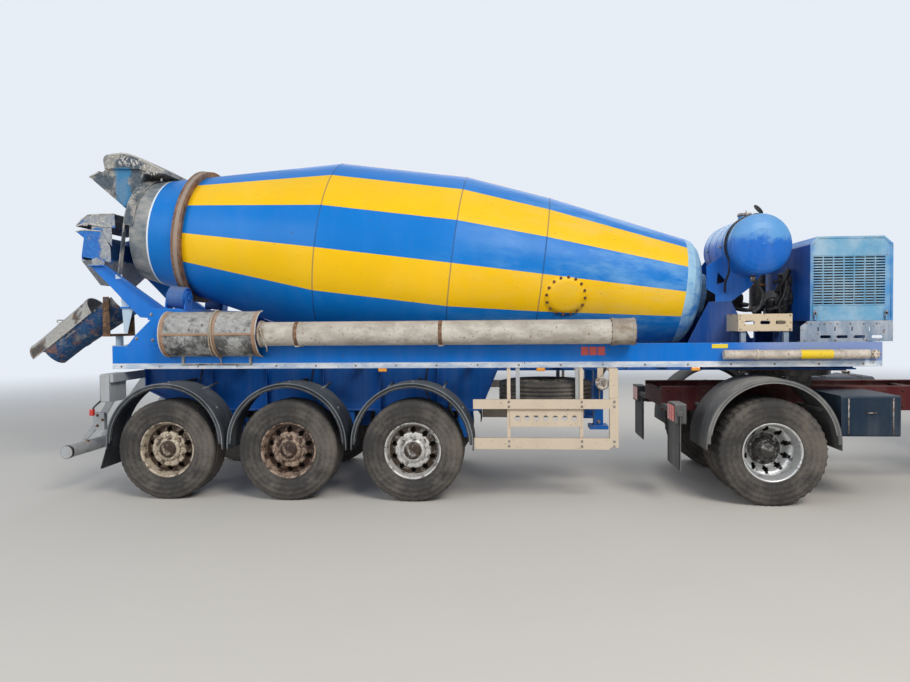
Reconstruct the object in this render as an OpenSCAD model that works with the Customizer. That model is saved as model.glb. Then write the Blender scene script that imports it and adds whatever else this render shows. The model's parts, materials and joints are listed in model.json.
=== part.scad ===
// Articulated concrete mixer: three-axle semi-trailer with its own drum engine, and a two-axle tractor.
// Right-handed frame: +X is forward, +Y is the vehicle's left, +Z is up, the ground is z = 0.
// Trailer stations are measured forward from the trailer's front axle, tractor stations from the kingpin.

/* [Lengths] */
// Distance between neighbouring trailer axles
axle_pitch = 1310; // [1260:10:1400]
// Kingpin ahead of the trailer's front axle
kingpin_ahead = 4150; // [4000:10:4300]
// Kingpin ahead of the tractor's rear axle
fifth_lead = 560; // [500:10:620]
// Tractor wheelbase
wheelbase = 3600; // [3500:10:3900]
// Front bumper face ahead of the front axle
front_overhang = 1400; // [1380:10:1500]

/* [Wheels] */
// Rolling radius of the trailer tyres
trailer_tyre_r = 526; // [510:1:532]
// Width of the trailer tyres
trailer_tyre_w = 385; // [365:5:395]
// Distance between the centres of the trailer tyres
trailer_track = 2040; // [2030:10:2060]
// Rolling radius of the tractor tyres
tractor_tyre_r = 532; // [515:1:538]
// Width of the tractor tyres
tractor_tyre_w = 300; // [290:5:310]
// Distance between the centres of the twin tyre pairs
twin_track = 1830; // [1820:5:1840]
// Distance between the two tyres of a pair
twin_pitch = 345; // [340:5:355]
// Distance between the centres of the front tyres
front_track = 2050; // [2030:5:2070]
// Radius of the bead seat on every rim
bead_r = 285; // [280:1:290]

/* [Frame] */
// Underside of the coupling plate above the ground
coupling_z = 1296; // [1290:2:1310]
// Underside of the deep part of the main beams
deep_z = 860; // [840:5:900]
// Top of the main beams
beam_top_z = 1500; // [1480:5:1510]
// Half the distance between the webs of the main beams
beam_y = 450; // [430:5:470]
// Width of the beam flanges
flange_w = 150; // [120:5:160]
// Half the width over the side rails
rail_y = 1000; // [990:5:1010]
// Underside of the side rails
rail_bot_z = 1370; // [1365:5:1385]
// Top of the side rails
rail_top_z = 1617; // [1600:1:1630]

/* [Drum] */
// Height of the drum axis over the trailer's front axle
drum_z = 2555; // [2550:5:2600]
// Tilt of the drum axis, rising to the rear, in degrees
drum_tilt = 7.4; // [7:0.1:7.8]
// Greatest radius of the drum
drum_r = 1050; // [1000:5:1055]
// Wall of the drum shell
drum_wall = 8; // [6:1:16]
// Outer radius of the track ring
ring_r = 787; // [780:1:795]
// Width of the track ring
ring_w = 100; // [90:5:120]
// Radius of the support rollers
roller_r = 125; // [110:5:130]
// Angle of the support rollers from straight below the drum, in degrees
roller_angle = 35; // [32:1:38]

/* [Chute] */
// Length of the main chute below its tilt pin
chute_l = 1045; // [1000:5:1060]
// Inner radius of the main chute at its lower end
chute_r = 185; // [175:5:190]
// Inner radius of the main chute at its head
chute_head_r = 250; // [230:5:255]
// Height of the chute's tilt pin above the ground
chute_z = 2153; // [2140:1:2160]
// Slope of the chute at rest, in degrees
chute_slope = 36; // [34:1:38]

/* [Cab] */
// Half the width of the cab
cab_y = 1240; // [1220:5:1250]
// Height of the cab roof
cab_top_z = 2950; // [2850:10:3050]
// Depth of the cab from its front to its rear wall
cab_l = 1980; // [1900:10:2100]

/* [Hidden] */

$fn = 72;
gap = 0.3;
eps = 1;

// Chute stations: swivel column, and the fold-over section's tail past the main chute's end
column_x = -3790;
fold_tail = 170;
chute_wall = 6;
fold_gap = 5;
fold_r = chute_r + chute_wall + fold_gap;

// Stations of the whole vehicle, centred on its length
rear_reach = -column_x + (chute_l + fold_tail) * cos(chute_slope) + (fold_r + chute_wall) * sin(chute_slope);
total_l = rear_reach + kingpin_ahead - fifth_lead + wheelbase + front_overhang;
tx = rear_reach - total_l / 2;
kx = tx + kingpin_ahead;
front_axle_x = wheelbase - fifth_lead;
front_x = front_axle_x + front_overhang;

blue = "dodgerblue";
deep_blue = "royalblue";
steel = "silver";
beige = "tan";
dark = "dimgray";
rust = "sienna";

module on_trailer() translate([tx, 0, 0]) children();
module on_tractor() translate([kx, 0, 0]) children();

// Draws what stands on the right-hand side there and mirrored on the left
module both_sides() {
  children();
  mirror([0, 1, 0]) children();
}

// A block given by its two corners
module block(a, b) translate(a) cube([b[0] - a[0], b[1] - a[1], b[2] - a[2]]);

// A round bar along X, Y or Z, from its start point
module bar_x(p, l, r) translate(p) rotate([0, 90, 0]) cylinder(h = l, r = r);
module bar_y(p, l, r) translate(p) rotate([-90, 0, 0]) cylinder(h = l, r = r);
module bar_z(p, l, r) translate(p) cylinder(h = l, r = r);

// A side-view outline of [x, z] points, extruded from y over the width w
module side_plate(outline, y, w)
  translate([0, y + w, 0]) rotate([90, 0, 0]) linear_extrude(w) polygon(outline);

// A strip of height t above a line of [x, z] points
function strip(line, t) = concat(line, [for (i = [len(line) - 1:-1:0]) [line[i][0], line[i][1] + t]]);
function lowered(line, t) = [for (p = line) [p[0], p[1] - t]];

// A slot with round ends, l long and w high, at [x, z]
module oblong(x, z, l, w) translate([x, z]) {
  square([l - w, w], center = true);
  for (s = [-1, 1]) translate([s * (l - w) / 2, 0]) circle(r = w / 2, $fn = 24);
}

// An upright sheet in the side view, w thick from y, drawn as a flat shape in x and z
module sheet(y, w) translate([0, y + w, 0]) rotate([90, 0, 0]) linear_extrude(w) children();

// A box lying along X with its long edges rounded by r
module rounded_box(a, b, r) translate([a[0], 0, 0]) rotate([90, 0, 90]) linear_extrude(b[0] - a[0]) {
  translate([a[1] + r, a[2]]) square([b[1] - a[1] - 2 * r, b[2] - a[2]]);
  translate([a[1], a[2] + r]) square([b[1] - a[1], b[2] - a[2] - 2 * r]);
  for (y = [a[1] + r, b[1] - r], z = [a[2] + r, b[2] - r]) translate([y, z]) circle(r = r, $fn = 32);
}

/* Drum frame: +Z runs to the rear along the axis, +X points up and is square to it */
module drum_frame() on_trailer() translate([0, 0, drum_z]) rotate([0, drum_tilt - 90, 0]) children();

// Point of the drum axis at distance t to the rear, as [x, z] in trailer stations
function axis_at(t) = [-t * cos(drum_tilt), drum_z + t * sin(drum_tilt)];

// Drum stations: distance to the rear along the axis, radius of the shell
front_t = -2950;
mouth_t = 3330;
ring_t = 2692;
shell_stations = [
  [front_t, 617], [-1371, drum_r - 136], [-414, drum_r - 3], [1045, drum_r], [mouth_t, 586]];
head_t = front_t - 250;
hub_r = 235;
shaft_r = 60;

// Main beam outline along its underside and top
beam_rear_x = -3180;
beam_front_x = 4700;
goose_z = coupling_z + 12;
step_x = 680;
step_end_x = 870;
under_line = [[beam_rear_x, deep_z + 240], [beam_rear_x + 500, deep_z], [step_x, deep_z],
  [step_end_x, goose_z], [beam_front_x, goose_z]];
top_line = [[beam_rear_x, beam_top_z], [beam_front_x, beam_top_z]];
web_t = 10;
flange_t = 16;
rail_in_y = rail_y - 60;
rail_t = 8;
end_t = 12;
rib_stations = [-2400, -1760, -1100, -450, 200, 1500, 2300, 3300];
cross_z = rail_bot_z;
cross_h = 50;
deck_t = 8;
deck_z = cross_z + cross_h + deck_t;
deck_rear_x = 3050;
cross_stations = [beam_rear_x + 40, -2000, -655, 590, 1560, 2700, 3700, beam_front_x - 140];
rail_rear_x = -3300;
rail_front_x = 4725;

module main_beam(y) {
  side_plate(concat(under_line, [top_line[1], top_line[0]]), y - web_t / 2, web_t);
  side_plate(strip(under_line, flange_t), y - flange_w / 2, flange_w);
  side_plate(strip([for (p = top_line) [p[0], p[1] - flange_t]], flange_t), y - flange_w / 2, flange_w);
}

module chassis() color(deep_blue) on_trailer() {
  both_sides() {
    main_beam(-beam_y);
    for (x = rib_stations) block([x - 5, -beam_y - flange_w / 2 + 5, (x < step_x ? deep_z : goose_z) + 1],
      [x + 5, -beam_y, beam_top_z - 1]);
  }
  block([deck_rear_x, -rail_in_y, deck_z - deck_t], [beam_front_x, rail_in_y, deck_z]);
  block([beam_rear_x - end_t, -beam_y - flange_w / 2, deep_z + 240],
    [beam_rear_x, beam_y + flange_w / 2, beam_top_z]);
  block([beam_front_x, -rail_in_y, rail_bot_z], [beam_front_x + end_t, rail_in_y, rail_top_z]);
}

// Box-section members between the beams, and outriggers from the beams to the side rails
module cross_members() color(deep_blue) on_trailer() for (x = cross_stations) {
  block([x - 40, -beam_y + web_t / 2, cross_z], [x + 40, beam_y - web_t / 2, cross_z + cross_h]);
  both_sides() block([x - 40, -rail_in_y, cross_z], [x + 40, -beam_y - web_t / 2, cross_z + cross_h]);
}

king_r = 25.4;
module kingpin_plate() color(dark) on_trailer() {
  block([kingpin_ahead - 700, -520, coupling_z], [beam_front_x - 100, 520, goose_z]);
  bar_z([kingpin_ahead, 0, coupling_z - 80], 81, king_r);
}

module side_rails() color(blue) on_trailer() both_sides() {
  block([rail_rear_x, -rail_y, rail_bot_z], [rail_front_x, -rail_y + rail_t, rail_top_z]);
  block([rail_rear_x, -rail_y, rail_bot_z], [rail_front_x, -rail_in_y, rail_bot_z + 60]);
  block([rail_rear_x, -rail_y, rail_top_z - rail_t], [rail_front_x, -rail_in_y, rail_top_z]);
  for (x = [rail_rear_x, rail_front_x - rail_t])
    block([x, -rail_y, rail_bot_z], [x + rail_t, -rail_in_y, rail_top_z]);
}

// Rear pedestal: side plates, roller beam, hopper arms and chute column
ped_y = rail_y - 12;
ped_t = 12;
ped_line = [[-3141, rail_top_z], [-3041, 1740], [-2743, 2022], [-2560, 2022], [-1500, rail_top_z]];
roller_beam = [-2900, -2620, 1900, 2024];
roller_w = 200;
lug_t = 16;
arm_y = 548;
arm_top_z = 2536;
arm_line = [[-2895, 2024], [-3610, arm_top_z], [-3805, arm_top_z]];
arm_flange = 66;
pin_r = 30;
yoke_drop = 410;
plate_t = 30;
column_top_z = chute_z - yoke_drop - plate_t - gap;
ring_c = axis_at(ring_t);
roller_reach = ring_r + roller_r + 0.5;
roller_drop = roller_reach * cos(roller_angle);
roller_y = roller_reach * sin(roller_angle);

module roller_frame(side) drum_frame() translate([-roller_drop, side * roller_y, ring_t]) children();

module rear_pedestal() color(blue) {
  on_trailer() {
    both_sides() {
      side_plate(ped_line, -ped_y, ped_t);
      side_plate(strip(lowered([ped_line[1], ped_line[2], ped_line[3],
        [ped_line[4][0] - 40, rail_top_z + 15]], 8), 8), -ped_y, 60);
      side_plate(concat(arm_line, [[-3580, 2311], [-3338, 2054], [-3217, 1935], [-2895, 1905]]),
        -arm_y - ped_t, ped_t);
      side_plate(strip(lowered(arm_line, 8), 8), -arm_y - arm_flange, arm_flange);
      side_plate([[-3460, 2170], [-3320, 2030], [-3390, 1760], [-3430, 1760]], -arm_y + 20, 8);
      block([-3460, -arm_y, 2040], [-3330, -arm_y + 28, 2060]);
      block([-2740, -620, low_beam[3]], [-2660, -608, roller_beam[2]]);
    }
    block([roller_beam[0], -ped_y, roller_beam[2]], [roller_beam[1], ped_y, roller_beam[3]]);
    block([column_x - 60, -60, low_beam[2]], [low_beam[0], 60, low_beam[3]]);
    block([low_beam[0], -rail_y + rail_t, low_beam[2]], [low_beam[1], rail_y - rail_t, low_beam[3]]);
    block([-2712, -60, low_beam[3]], [-2700, 60, roller_beam[2]]);
    side_plate([[column_x + 60, low_beam[3]], [-2712, roller_beam[2]], [-2712, low_beam[3]]], -6, 12);
    bar_z([column_x, 0, low_beam[3]], column_top_z - low_beam[3], 45);
    bar_z([column_x, 0, column_top_z], plate_t, pin_r);
  }
  for (side = [-1, 1]) roller_frame(side) {
    for (s = [-1, 1]) translate([-155, -80, s * (roller_w / 2 + 12) - lug_t / 2]) cube([195, 160, lug_t]);
    translate([0, 0, -roller_w / 2 - 30]) cylinder(h = roller_w + 60, r = pin_r);
  }
}
low_beam = [-2740, -2660, 1540, 1600];

module roller(side) color(blue) roller_frame(side) rotate_extrude() polygon([
  [pin_r + gap, -roller_w / 2], [75, -roller_w / 2], [82, -roller_w / 2 + 14],
  [roller_r - 20, -roller_w / 2 + 14], [roller_r - 12, -roller_w / 2], [roller_r, -roller_w / 2 + 12],
  [roller_r, roller_w / 2 - 12], [roller_r - 12, roller_w / 2], [roller_r - 20, roller_w / 2 - 14],
  [82, roller_w / 2 - 14], [75, roller_w / 2], [pin_r + gap, roller_w / 2]]);
module roller_right() roller(-1);
module roller_left() roller(1);

// Drum shell, open at its mouth, with a dished front head and a hub
function shift_in(points, t) = [for (i = [len(points) - 1:-1:0]) [points[i][1] - t, points[i][0]]];
head_steps = 6;
function head(r0, t0, depth) =
  [for (i = [head_steps:-1:1]) let (a = 90 * i / head_steps) [max(hub_r, r0 * cos(a)), t0 - depth * sin(a)]];

mouth_r = shell_stations[len(shell_stations) - 1][1];
hoop = [14, 8];
module drum() color(blue) drum_frame() {
  rotate_extrude() polygon(concat(
    head(shell_stations[0][1], front_t, front_t - head_t),
    [for (i = [0:len(shell_stations) - 2]) [shell_stations[i][1], shell_stations[i][0]]],
    [[shell_r(mouth_t - hoop[0]), mouth_t - hoop[0]], [mouth_r + hoop[1], mouth_t - hoop[0]],
      [mouth_r + hoop[1], mouth_t]],
    shift_in(shell_stations, drum_wall),
    [for (i = [1:head_steps]) let (a = 90 * i / head_steps)
      [max(hub_r - 60, (shell_stations[0][1] - drum_wall) * cos(a)), front_t - (front_t - head_t - drum_wall) * sin(a)]]));
  translate([0, 0, head_t - 40]) difference() {
    cylinder(h = 60, r = hub_r + 10);
    translate([0, 0, -1]) cylinder(h = 62, r = shaft_r + gap);
  }
}

function shell_r(t) = lookup(t, shell_stations);

// Two helical blades inside the shell: depths are [station, width of the blade]
flight_t = [-2750, 3180];
flight_pitch = 1500;
flight_wall = 6;
flight_depths = [[-2750, 220], [-1400, 360], [1000, 360], [3180, 230]];
flight_steps = round(20 * (flight_t[1] - flight_t[0]) / flight_pitch);
function flight_ring(i) = let (
    t = flight_t[0] + (flight_t[1] - flight_t[0]) * i / flight_steps,
    a = 360 * (t - flight_t[0]) / flight_pitch,
    h = flight_wall / 2,
    r1 = min(shell_r(t - h), shell_r(t + h)) - drum_wall - gap,
    r0 = r1 - lookup(t, flight_depths))
  [for (p = [[r1, -h], [r1, h], [r0, h], [r0, -h]]) [p[0] * cos(a), p[0] * sin(a), t + p[1]]];
module flight() polyhedron(
  points = [for (i = [0:flight_steps]) each flight_ring(i)],
  faces = concat([[0, 1, 2, 3]],
    [for (i = [0:flight_steps - 1], j = [0:3]) let (k = (j + 1) % 4) each
      [[4 * i + j, 4 * i + 4 + j, 4 * i + 4 + k], [4 * i + j, 4 * i + 4 + k, 4 * i + k]]],
    [[for (j = [3:-1:0]) 4 * flight_steps + j]]));
module drum_flights() color(rust) drum_frame() for (a = [0, 180]) rotate([0, 0, a]) flight();

// Track ring: two raised edges and a lower middle
module track_ring() color(rust) drum_frame() translate([0, 0, ring_t]) rotate_extrude($fn = 144) polygon([
  [shell_r(ring_t - ring_w / 2) + gap, -ring_w / 2], [ring_r, -ring_w / 2], [ring_r, -ring_w / 4],
  [ring_r - 6, -ring_w / 4 + 6], [ring_r - 6, ring_w / 4 - 6], [ring_r, ring_w / 4], [ring_r, ring_w / 2],
  [shell_r(ring_t + ring_w / 2) + gap, ring_w / 2]]);

// Gearbox and motor on the axis ahead of the drum, on the front pedestal
gear_t = head_t - 40 - gap;
module drum_gearbox() color(dark) drum_frame() {
  translate([0, 0, gear_t - 180]) cylinder(h = 180, r = gear_r);
  translate([0, 0, gear_t - 330]) cylinder(h = 151, r = 170);
  translate([0, 0, gear_t - 1]) cylinder(h = 50, r = shaft_r);
}

gear_r = 230;
ped_top_z = 2050;
far_bracket_y = gear_r + 6;
module front_pedestal() color(deep_blue) difference() {
  gx = axis_at(gear_t)[0];
  on_trailer() {
    both_sides() side_plate([[2900, beam_top_z], [3180, ped_top_z], [3420, ped_top_z], [3700, beam_top_z]],
      -beam_y - 6, 12);
    block([gx + 50, -beam_y, beam_top_z], [gx + 66, beam_y, ped_top_z]);
    block([gx + 22, far_bracket_y, ped_top_z - 12], [3420, beam_y, ped_top_z]);
  }
  drum_frame() translate([0, 0, gear_t - 170]) cylinder(h = 160, r = gear_r + gap);
}

// Engine group at the trailer's front
base_z = 1830;
base_x = [4010, 4930];
base_y = [-800, -740];
base_t = 8;
beam_ys = [-240, 530];
base_slots = [4262, 4430, 4600, 4775];
tray = [3365, 3907, -860, -475, 1729, 1909];
module engine_base() color(steel) on_trailer() {
  for (y = beam_ys) {
    block([base_x[0], y, deck_z], [beam_front_x - 10, y + 60, rail_top_z + 5]);
    block([base_x[0], y, rail_top_z + 5], [base_x[1], y + 60, base_z]);
  }
  block([base_x[0], base_y[0], deck_z], [beam_front_x - 10, base_y[1], rail_top_z + 5]);
  sheet(base_y[0], base_t) difference() {
    polygon([[base_x[0], rail_top_z], [base_x[0], 1775], [base_x[0] + 80, base_z], [base_x[1], base_z],
      [base_x[1], rail_top_z]]);
    for (x = base_slots) {
      oblong(x, 1665, 110, 30);
      translate([x - 80, 1725]) square([12, 40]);
    }
  }
  block([base_x[0] + 80, base_y[0], base_z - base_t], [base_x[1], base_y[1], base_z]);
  block([base_x[1] - base_t, base_y[0], rail_top_z], [base_x[1], base_y[1], base_z]);
  for (x = hinge_xs) {
    bar_x([x, hood_pin_y, hood_pin_z], 40, hood_pin_r);
    block([x, hood_pin_y - hood_pin_r, base_z - eps], [x + 40, hood_pin_y + hood_pin_r, hood_pin_z]);
    bar_x([x, hood_pin_y, hood_pin_z], 80, hood_pin_r / 2);
  }
  for (y = tray_feet, x = [tray[0] + 35, tray[1] - 77]) block([x, y, deck_z], [x + 50, y + 50, tray[4] + eps]);
  sheet(tray[2], base_t) difference() {
    translate([tray[0], tray[4]]) square([tray[1] - tray[0], tray[5] - tray[4]]);
    for (x = [-155, 0, 155]) oblong((tray[0] + tray[1]) / 2 + x, (tray[4] + tray[5]) / 2, 100, 36);
  }
  block([tray[0], tray[2], tray[4]], [tray[1], tray[3], tray[4] + base_t]);
  for (x = [tray[0], tray[1] - base_t]) block([x, tray[2], tray[4]], [x + base_t, tray[3], tray[5]]);
}
tray_feet = [-840, -580];

// The hood covers the engine and lifts at its latched outer edge about a pin line on the far beam
hood_y = [-750, 560];
hood = [4130, 4955, base_z + gap, 2706];
hood_t = 10;
hood_pin_r = 10;
hood_pin_y = 572;
hood_pin_z = 1841;
hinge_xs = [4250, 4700];
hood_outline = [[hood[0], hood[2]], [hood[0], hood[3] - 80], [hood[0] + 70, hood[3]],
  [hood[1] - 90, hood[3]], [hood[1], hood[3] - 80], [hood[1], hood[2]]];
hood_inside = [[hood[0] + hood_t, hood[2] - hood_t], [hood[0] + hood_t, hood[3] - 84],
  [hood[0] + 74, hood[3] - hood_t], [hood[1] - 94, hood[3] - hood_t], [hood[1] - hood_t, hood[3] - 84],
  [hood[1] - hood_t, hood[2] - hood_t]];
// Grille: left edge, lower edge, columns, rows, column pitch, row pitch, slot length, slot height
grille = [4160, 2004, 7, 18, 104, 28, 92, 14];
latch_xs = [4172, 4880];
module engine_hood() color(blue) on_trailer() {
  difference() {
    side_plate(hood_outline, hood_y[0] + hood_t, hood_y[1] - hood_y[0] - hood_t);
    side_plate(hood_inside, hood_y[0], hood_y[1] - hood_y[0] - hood_t);
  }
  sheet(hood_y[0], hood_t) difference() {
    polygon(hood_outline);
    for (i = [0:grille[2] - 1], j = [0:grille[3] - 1])
      translate([grille[0] + i * grille[4], grille[1] + j * grille[5]]) square([grille[6], grille[7]]);
  }
  for (x = latch_xs) {
    block([x - 22, hood_y[0] - 8, hood[2] + 6], [x + 22, hood_y[0], hood[2] + 116]);
    block([x - 8, hood_y[0] - 26, hood[2] + 6], [x + 8, hood_y[0], hood[2] + 90]);
  }
  for (x = hinge_xs) difference() {
    union() {
      bar_x([x + 40 + gap, hood_pin_y, hood_pin_z], 39, hood_pin_r);
      block([x + 40 + gap, hood_y[1] - eps, hood_pin_z - 6], [x + 79 + gap, hood_pin_y, hood_pin_z + 6]);
    }
    bar_x([x + 40, hood_pin_y, hood_pin_z], 41, hood_pin_r / 2 + gap);
  }
}

// Drum engine as one block with its radiator, and the pump, silencer and exhaust beside the hood
exhaust = [4000, 430];
exhaust_r = 50;
exhaust_h = 1300;
rain_flap_r = 70;
module engine_block() color(dark) on_trailer() {
  block([4230, -480, base_z], [4850, 520, 2420]);
  block([4180, -540, base_z], [4900, -480, 2490]);
  block([4015, -180, base_z], [4118, 280, 2180]);
  block([3985, exhaust[1] - 60, base_z], [4060, beam_ys[1] + 20, base_z + 60]);
  bar_z([exhaust[0], exhaust[1], base_z + 59], exhaust_h - 59, exhaust_r);
  bar_z([exhaust[0], exhaust[1], base_z + 120], 640, 92);
  block([exhaust[0] + exhaust_r - 6, exhaust[1] - 14, base_z + exhaust_h - 40],
    [exhaust[0] + exhaust_r + 10, exhaust[1] + 14, base_z + exhaust_h + 4]);
  translate([exhaust[0] + exhaust_r + 4, exhaust[1], base_z + exhaust_h]) rotate([0, 48, 0])
    translate([-rain_flap_r + 4, 0, 0]) cylinder(h = 5, r = rain_flap_r);
}

tank_c = [3610, 2633];
tank_r = 315;
tank_y = [-790, 160];
tank_dish = 110;
module water_tank() color(blue) on_trailer() {
  bar_y([tank_c[0], tank_y[0], tank_c[1]], tank_y[1] - tank_y[0], tank_r);
  for (e = [[tank_y[0], 1], [tank_y[1], -1]]) translate([tank_c[0], e[0], tank_c[1]]) rotate([e[1] * 90, 0, 0])
    rotate_extrude() polygon(concat([[0, 0]], [for (a = [0:15:90]) [tank_r * cos(a), tank_dish * sin(a)]]));
  for (y = [tank_y[0] + 260, tank_y[1] - 200]) translate([tank_c[0], y, tank_c[1]]) rotate([-90, 0, 0])
    difference() {
      cylinder(h = 50, r = tank_r + 4);
      translate([0, 0, -1]) cylinder(h = 52, r = tank_r - 2);
    }
  for (b = [[-beam_y - 6, 3155], [far_bracket_y, 3245]]) sheet(b[0], 10) difference() {
    polygon([[3250, ped_top_z], [3420, ped_top_z], [3620, 2200], [3760, 2360], [3700, 2560], [3340, 2560],
      [b[1], 2440], [b[1], 2190], [3250, 2130]]);
    polygon([[3265, 2240], [3275, 2370], [3370, 2270]]);
  }
  bar_z([tank_c[0], -300, tank_c[1] + tank_r - 6], 46, 70);
}

// Hoppers over and under the drum mouth
hopper_t = 8;
// Charging hopper: side outline of its cheeks, of the arched collar above and of the sloping floor
cheek = [[-3756, 3663], [-3516, 3238], [-3408, 3328], [-3321, 3449], [-3268, 3624], [-2998, 3630], [-3100, 3700],
  [-3700, 3710]];
collar = [[-3709, 3690], [-3709, 3837], [-3513, 3867], [-3415, 3853], [-3271, 3797], [-2990, 3649],
  [-2990, 3612], [-3130, 3624], [-3300, 3680]];
collar_top = [[-3709, 3837], [-3513, 3867], [-3415, 3853], [-3271, 3797], [-2990, 3649]];
floor_line = [[-3940, 3604], [-3516, 3238], [-3300, 3090], [-3130, 3040]];
hopper_y = 330;
spout_y = 240;
shroud_r = mouth_r + 20;
shroud_t = [mouth_t - 40, mouth_t + 70];
frame_t = 10;
leg_y = [arm_y - 4, arm_y + arm_flange];

// Seal over the upper half of the mouth, with legs that stand on the pedestal's arms
module mouth_frame() difference() {
  drum_frame() {
    translate([0, 0, shroud_t[0]]) difference() {
      cylinder(h = shroud_t[1] - shroud_t[0] - eps, r = shroud_r + hopper_t);
      translate([0, 0, -1]) cylinder(h = shroud_t[1] - shroud_t[0] + 2, r = shroud_r);
      translate([-1000, -1000, -1]) cube([1000, 2000, 200]);
    }
    translate([0, 0, shroud_t[1] - frame_t]) linear_extrude(frame_t) difference() {
      union() {
        circle(r = shroud_r + hopper_t - eps);
        translate([-700, -leg_y[1]]) square([700, 2 * leg_y[1]]);
      }
      circle(r = leg_y[0]);
      translate([-701, -leg_y[0]]) square([701, 2 * leg_y[0]]);
    }
    translate([0, 0, shroud_t[1] - frame_t]) linear_extrude(frame_t) difference() {
      intersection() {
        circle(r = leg_y[0] + eps);
        translate([330, -leg_y[0]]) square([300, 2 * leg_y[0]]);
      }
      translate([300, -spout_y + hopper_t / 2]) square([160, 2 * spout_y - hopper_t]);
    }
  }
  on_trailer() side_plate([[-2895, 2024 + gap], [-3610, arm_top_z + gap], [-3610, 1700], [-2895, 1700]], -700, 1400);
}

module charging_hopper() color(dark) {
  mouth_frame();
  on_trailer() {
    both_sides() {
      side_plate(cheek, -hopper_y, hopper_t);
      side_plate(collar, -hopper_y - 40, hopper_t);
      side_plate([[-3709, 3690], [-3700, 3710], [-3100, 3700], [-3130, 3626], [-3300, 3672]], -hopper_y - 40, 48);
      side_plate([[-3815, 3664], [-3756, 3663], [-3500, 3225], [-3516, 3238], [-3940, 3604]], -hopper_y + 20, hopper_t);
      side_plate([[-3516, 3238], [-3300, 3090], [-3130, 3040], [-3130, 3180], [-3408, 3328]], -spout_y, hopper_t);
      side_plate(strip([[-3516, 3238], [-3300, 3330]], hopper_t), -hopper_y, hopper_y - spout_y + hopper_t);
    }
    side_plate(strip(floor_line, hopper_t), -hopper_y + 20, 2 * (hopper_y - 20));
    side_plate(strip([[-3709, 3700], [-3701, 3700]], 137), -hopper_y - 40, 2 * hopper_y + 80);
    side_plate([[-2998, 3612], [-2990, 3612], [-2990, 3649], [-2998, 3653]], -hopper_y - 40, 2 * hopper_y + 80);
    side_plate(strip(lowered([collar_top[3], collar_top[4]], hopper_t), hopper_t), -hopper_y - 40, 2 * hopper_y + 80);
    side_plate(strip([cheek[4], cheek[5]], hopper_t), -hopper_y, 2 * hopper_y);
    side_plate([cheek[3], cheek[4], [-3268, 3632], [-3277, 3632], [-3330, 3449]], -hopper_y, 2 * hopper_y);
  }
}

// Discharge hopper: wings with a bent rear wall, the splash flap above them and the outlet funnel
wing = [[-3982, 2933], [-3888, 2949], [-3677, 2934], [-3576, 2752], [-3568, 2572], [-3924, 2645], [-3890, 2858]];
flap = [[-3972, 2997], [-3909, 3066], [-3835, 3116], [-3520, 3121]];
wing_y = 530;
outlet = [-3900, -3680, 200, 2330];
module funnel(inset) hull() {
  block([-3924 + inset, -wing_y + inset, 2600], [-3568 - inset, wing_y - inset, 2601]);
  block([outlet[0] + inset, -outlet[2] + inset, outlet[3] - (inset > 0 ? 1 : 0)],
    [outlet[1] - inset, outlet[2] - inset, outlet[3] + 1]);
}
module discharge_hopper() color(blue) on_trailer() {
  both_sides() {
    side_plate(wing, -wing_y, hopper_t);
    side_plate(concat(flap, [[-3511, 2965], [-3850, 3018]]), -wing_y, hopper_t);
    side_plate([[-3800, 2925], [-3800, 3030], [-3560, 3030], [-3560, 2760], [-3700, 2925]], -wing_y + hopper_t, hopper_t);
    side_plate([[-3800, arm_top_z], [-3800, 2640], [-3650, 2610], [-3650, arm_top_z]], -wing_y, hopper_t);
    block([-3800, -arm_y - arm_flange, arm_top_z], [-3650, -wing_y + hopper_t, arm_top_z + hopper_t]);
  }
  side_plate(strip(flap, hopper_t), -wing_y, 2 * wing_y);
  side_plate([[-3982, 2933], [-3890, 2858], [-3924, 2610], [-3916, 2610], [-3881, 2860], [-3972, 2935]],
    -wing_y, 2 * wing_y);
  difference() {
    funnel(0);
    funnel(hopper_t);
  }
}

// Yoke on the swivel column, main chute and fold-over section.
// In the chute's frame +X points up along it from the tilt pin, and z = 0 is the plane of the rims.
yoke_y = chute_head_r + chute_wall + 12;
tilt_r = 16;
module chute_frame() on_trailer() translate([column_x, 0, chute_z]) rotate([0, -chute_slope, 0]) children();

// Half-round trough with its axis on X: both lines are [x, radius], side is -1 for open upwards
module trough(inner, outer, side) intersection() {
  rotate([0, 90, 0]) rotate_extrude() polygon(concat(
    [for (p = outer) [p[1], p[0]]],
    [for (i = [len(inner) - 1:-1:0]) [inner[i][1], inner[i][0]]]));
  translate([-2000, -500, side < 0 ? -500 - rim_z : rim_z]) cube([3000, 1000, 500]);
}
// Outer line of a stiffening band from x0 to x1 over a wall of radius r0 there and r1 at its other end
band_t = 5;
function band(x0, x1, r0, r1) = [[x0, r0], [x0, r0 + band_t], [x1, r1 + band_t], [x1, r1]];

module chute_bracket() color(rust) on_trailer() {
  z0 = column_top_z + gap;
  difference() {
    block([column_x - 45, -yoke_y - 16, z0], [column_x + 45, yoke_y + 16, z0 + plate_t]);
    bar_z([column_x, 0, z0 - 1], plate_t + 2, pin_r + gap);
  }
  both_sides() difference() {
    side_plate([[column_x - 45, z0], [column_x - 35, chute_z + 35], [column_x + 35, chute_z + 35], [column_x + 45, z0]],
      -yoke_y - 16, 16);
    bar_y([column_x, -yoke_y - 20, chute_z], 30, tilt_r + gap);
  }
}

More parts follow.
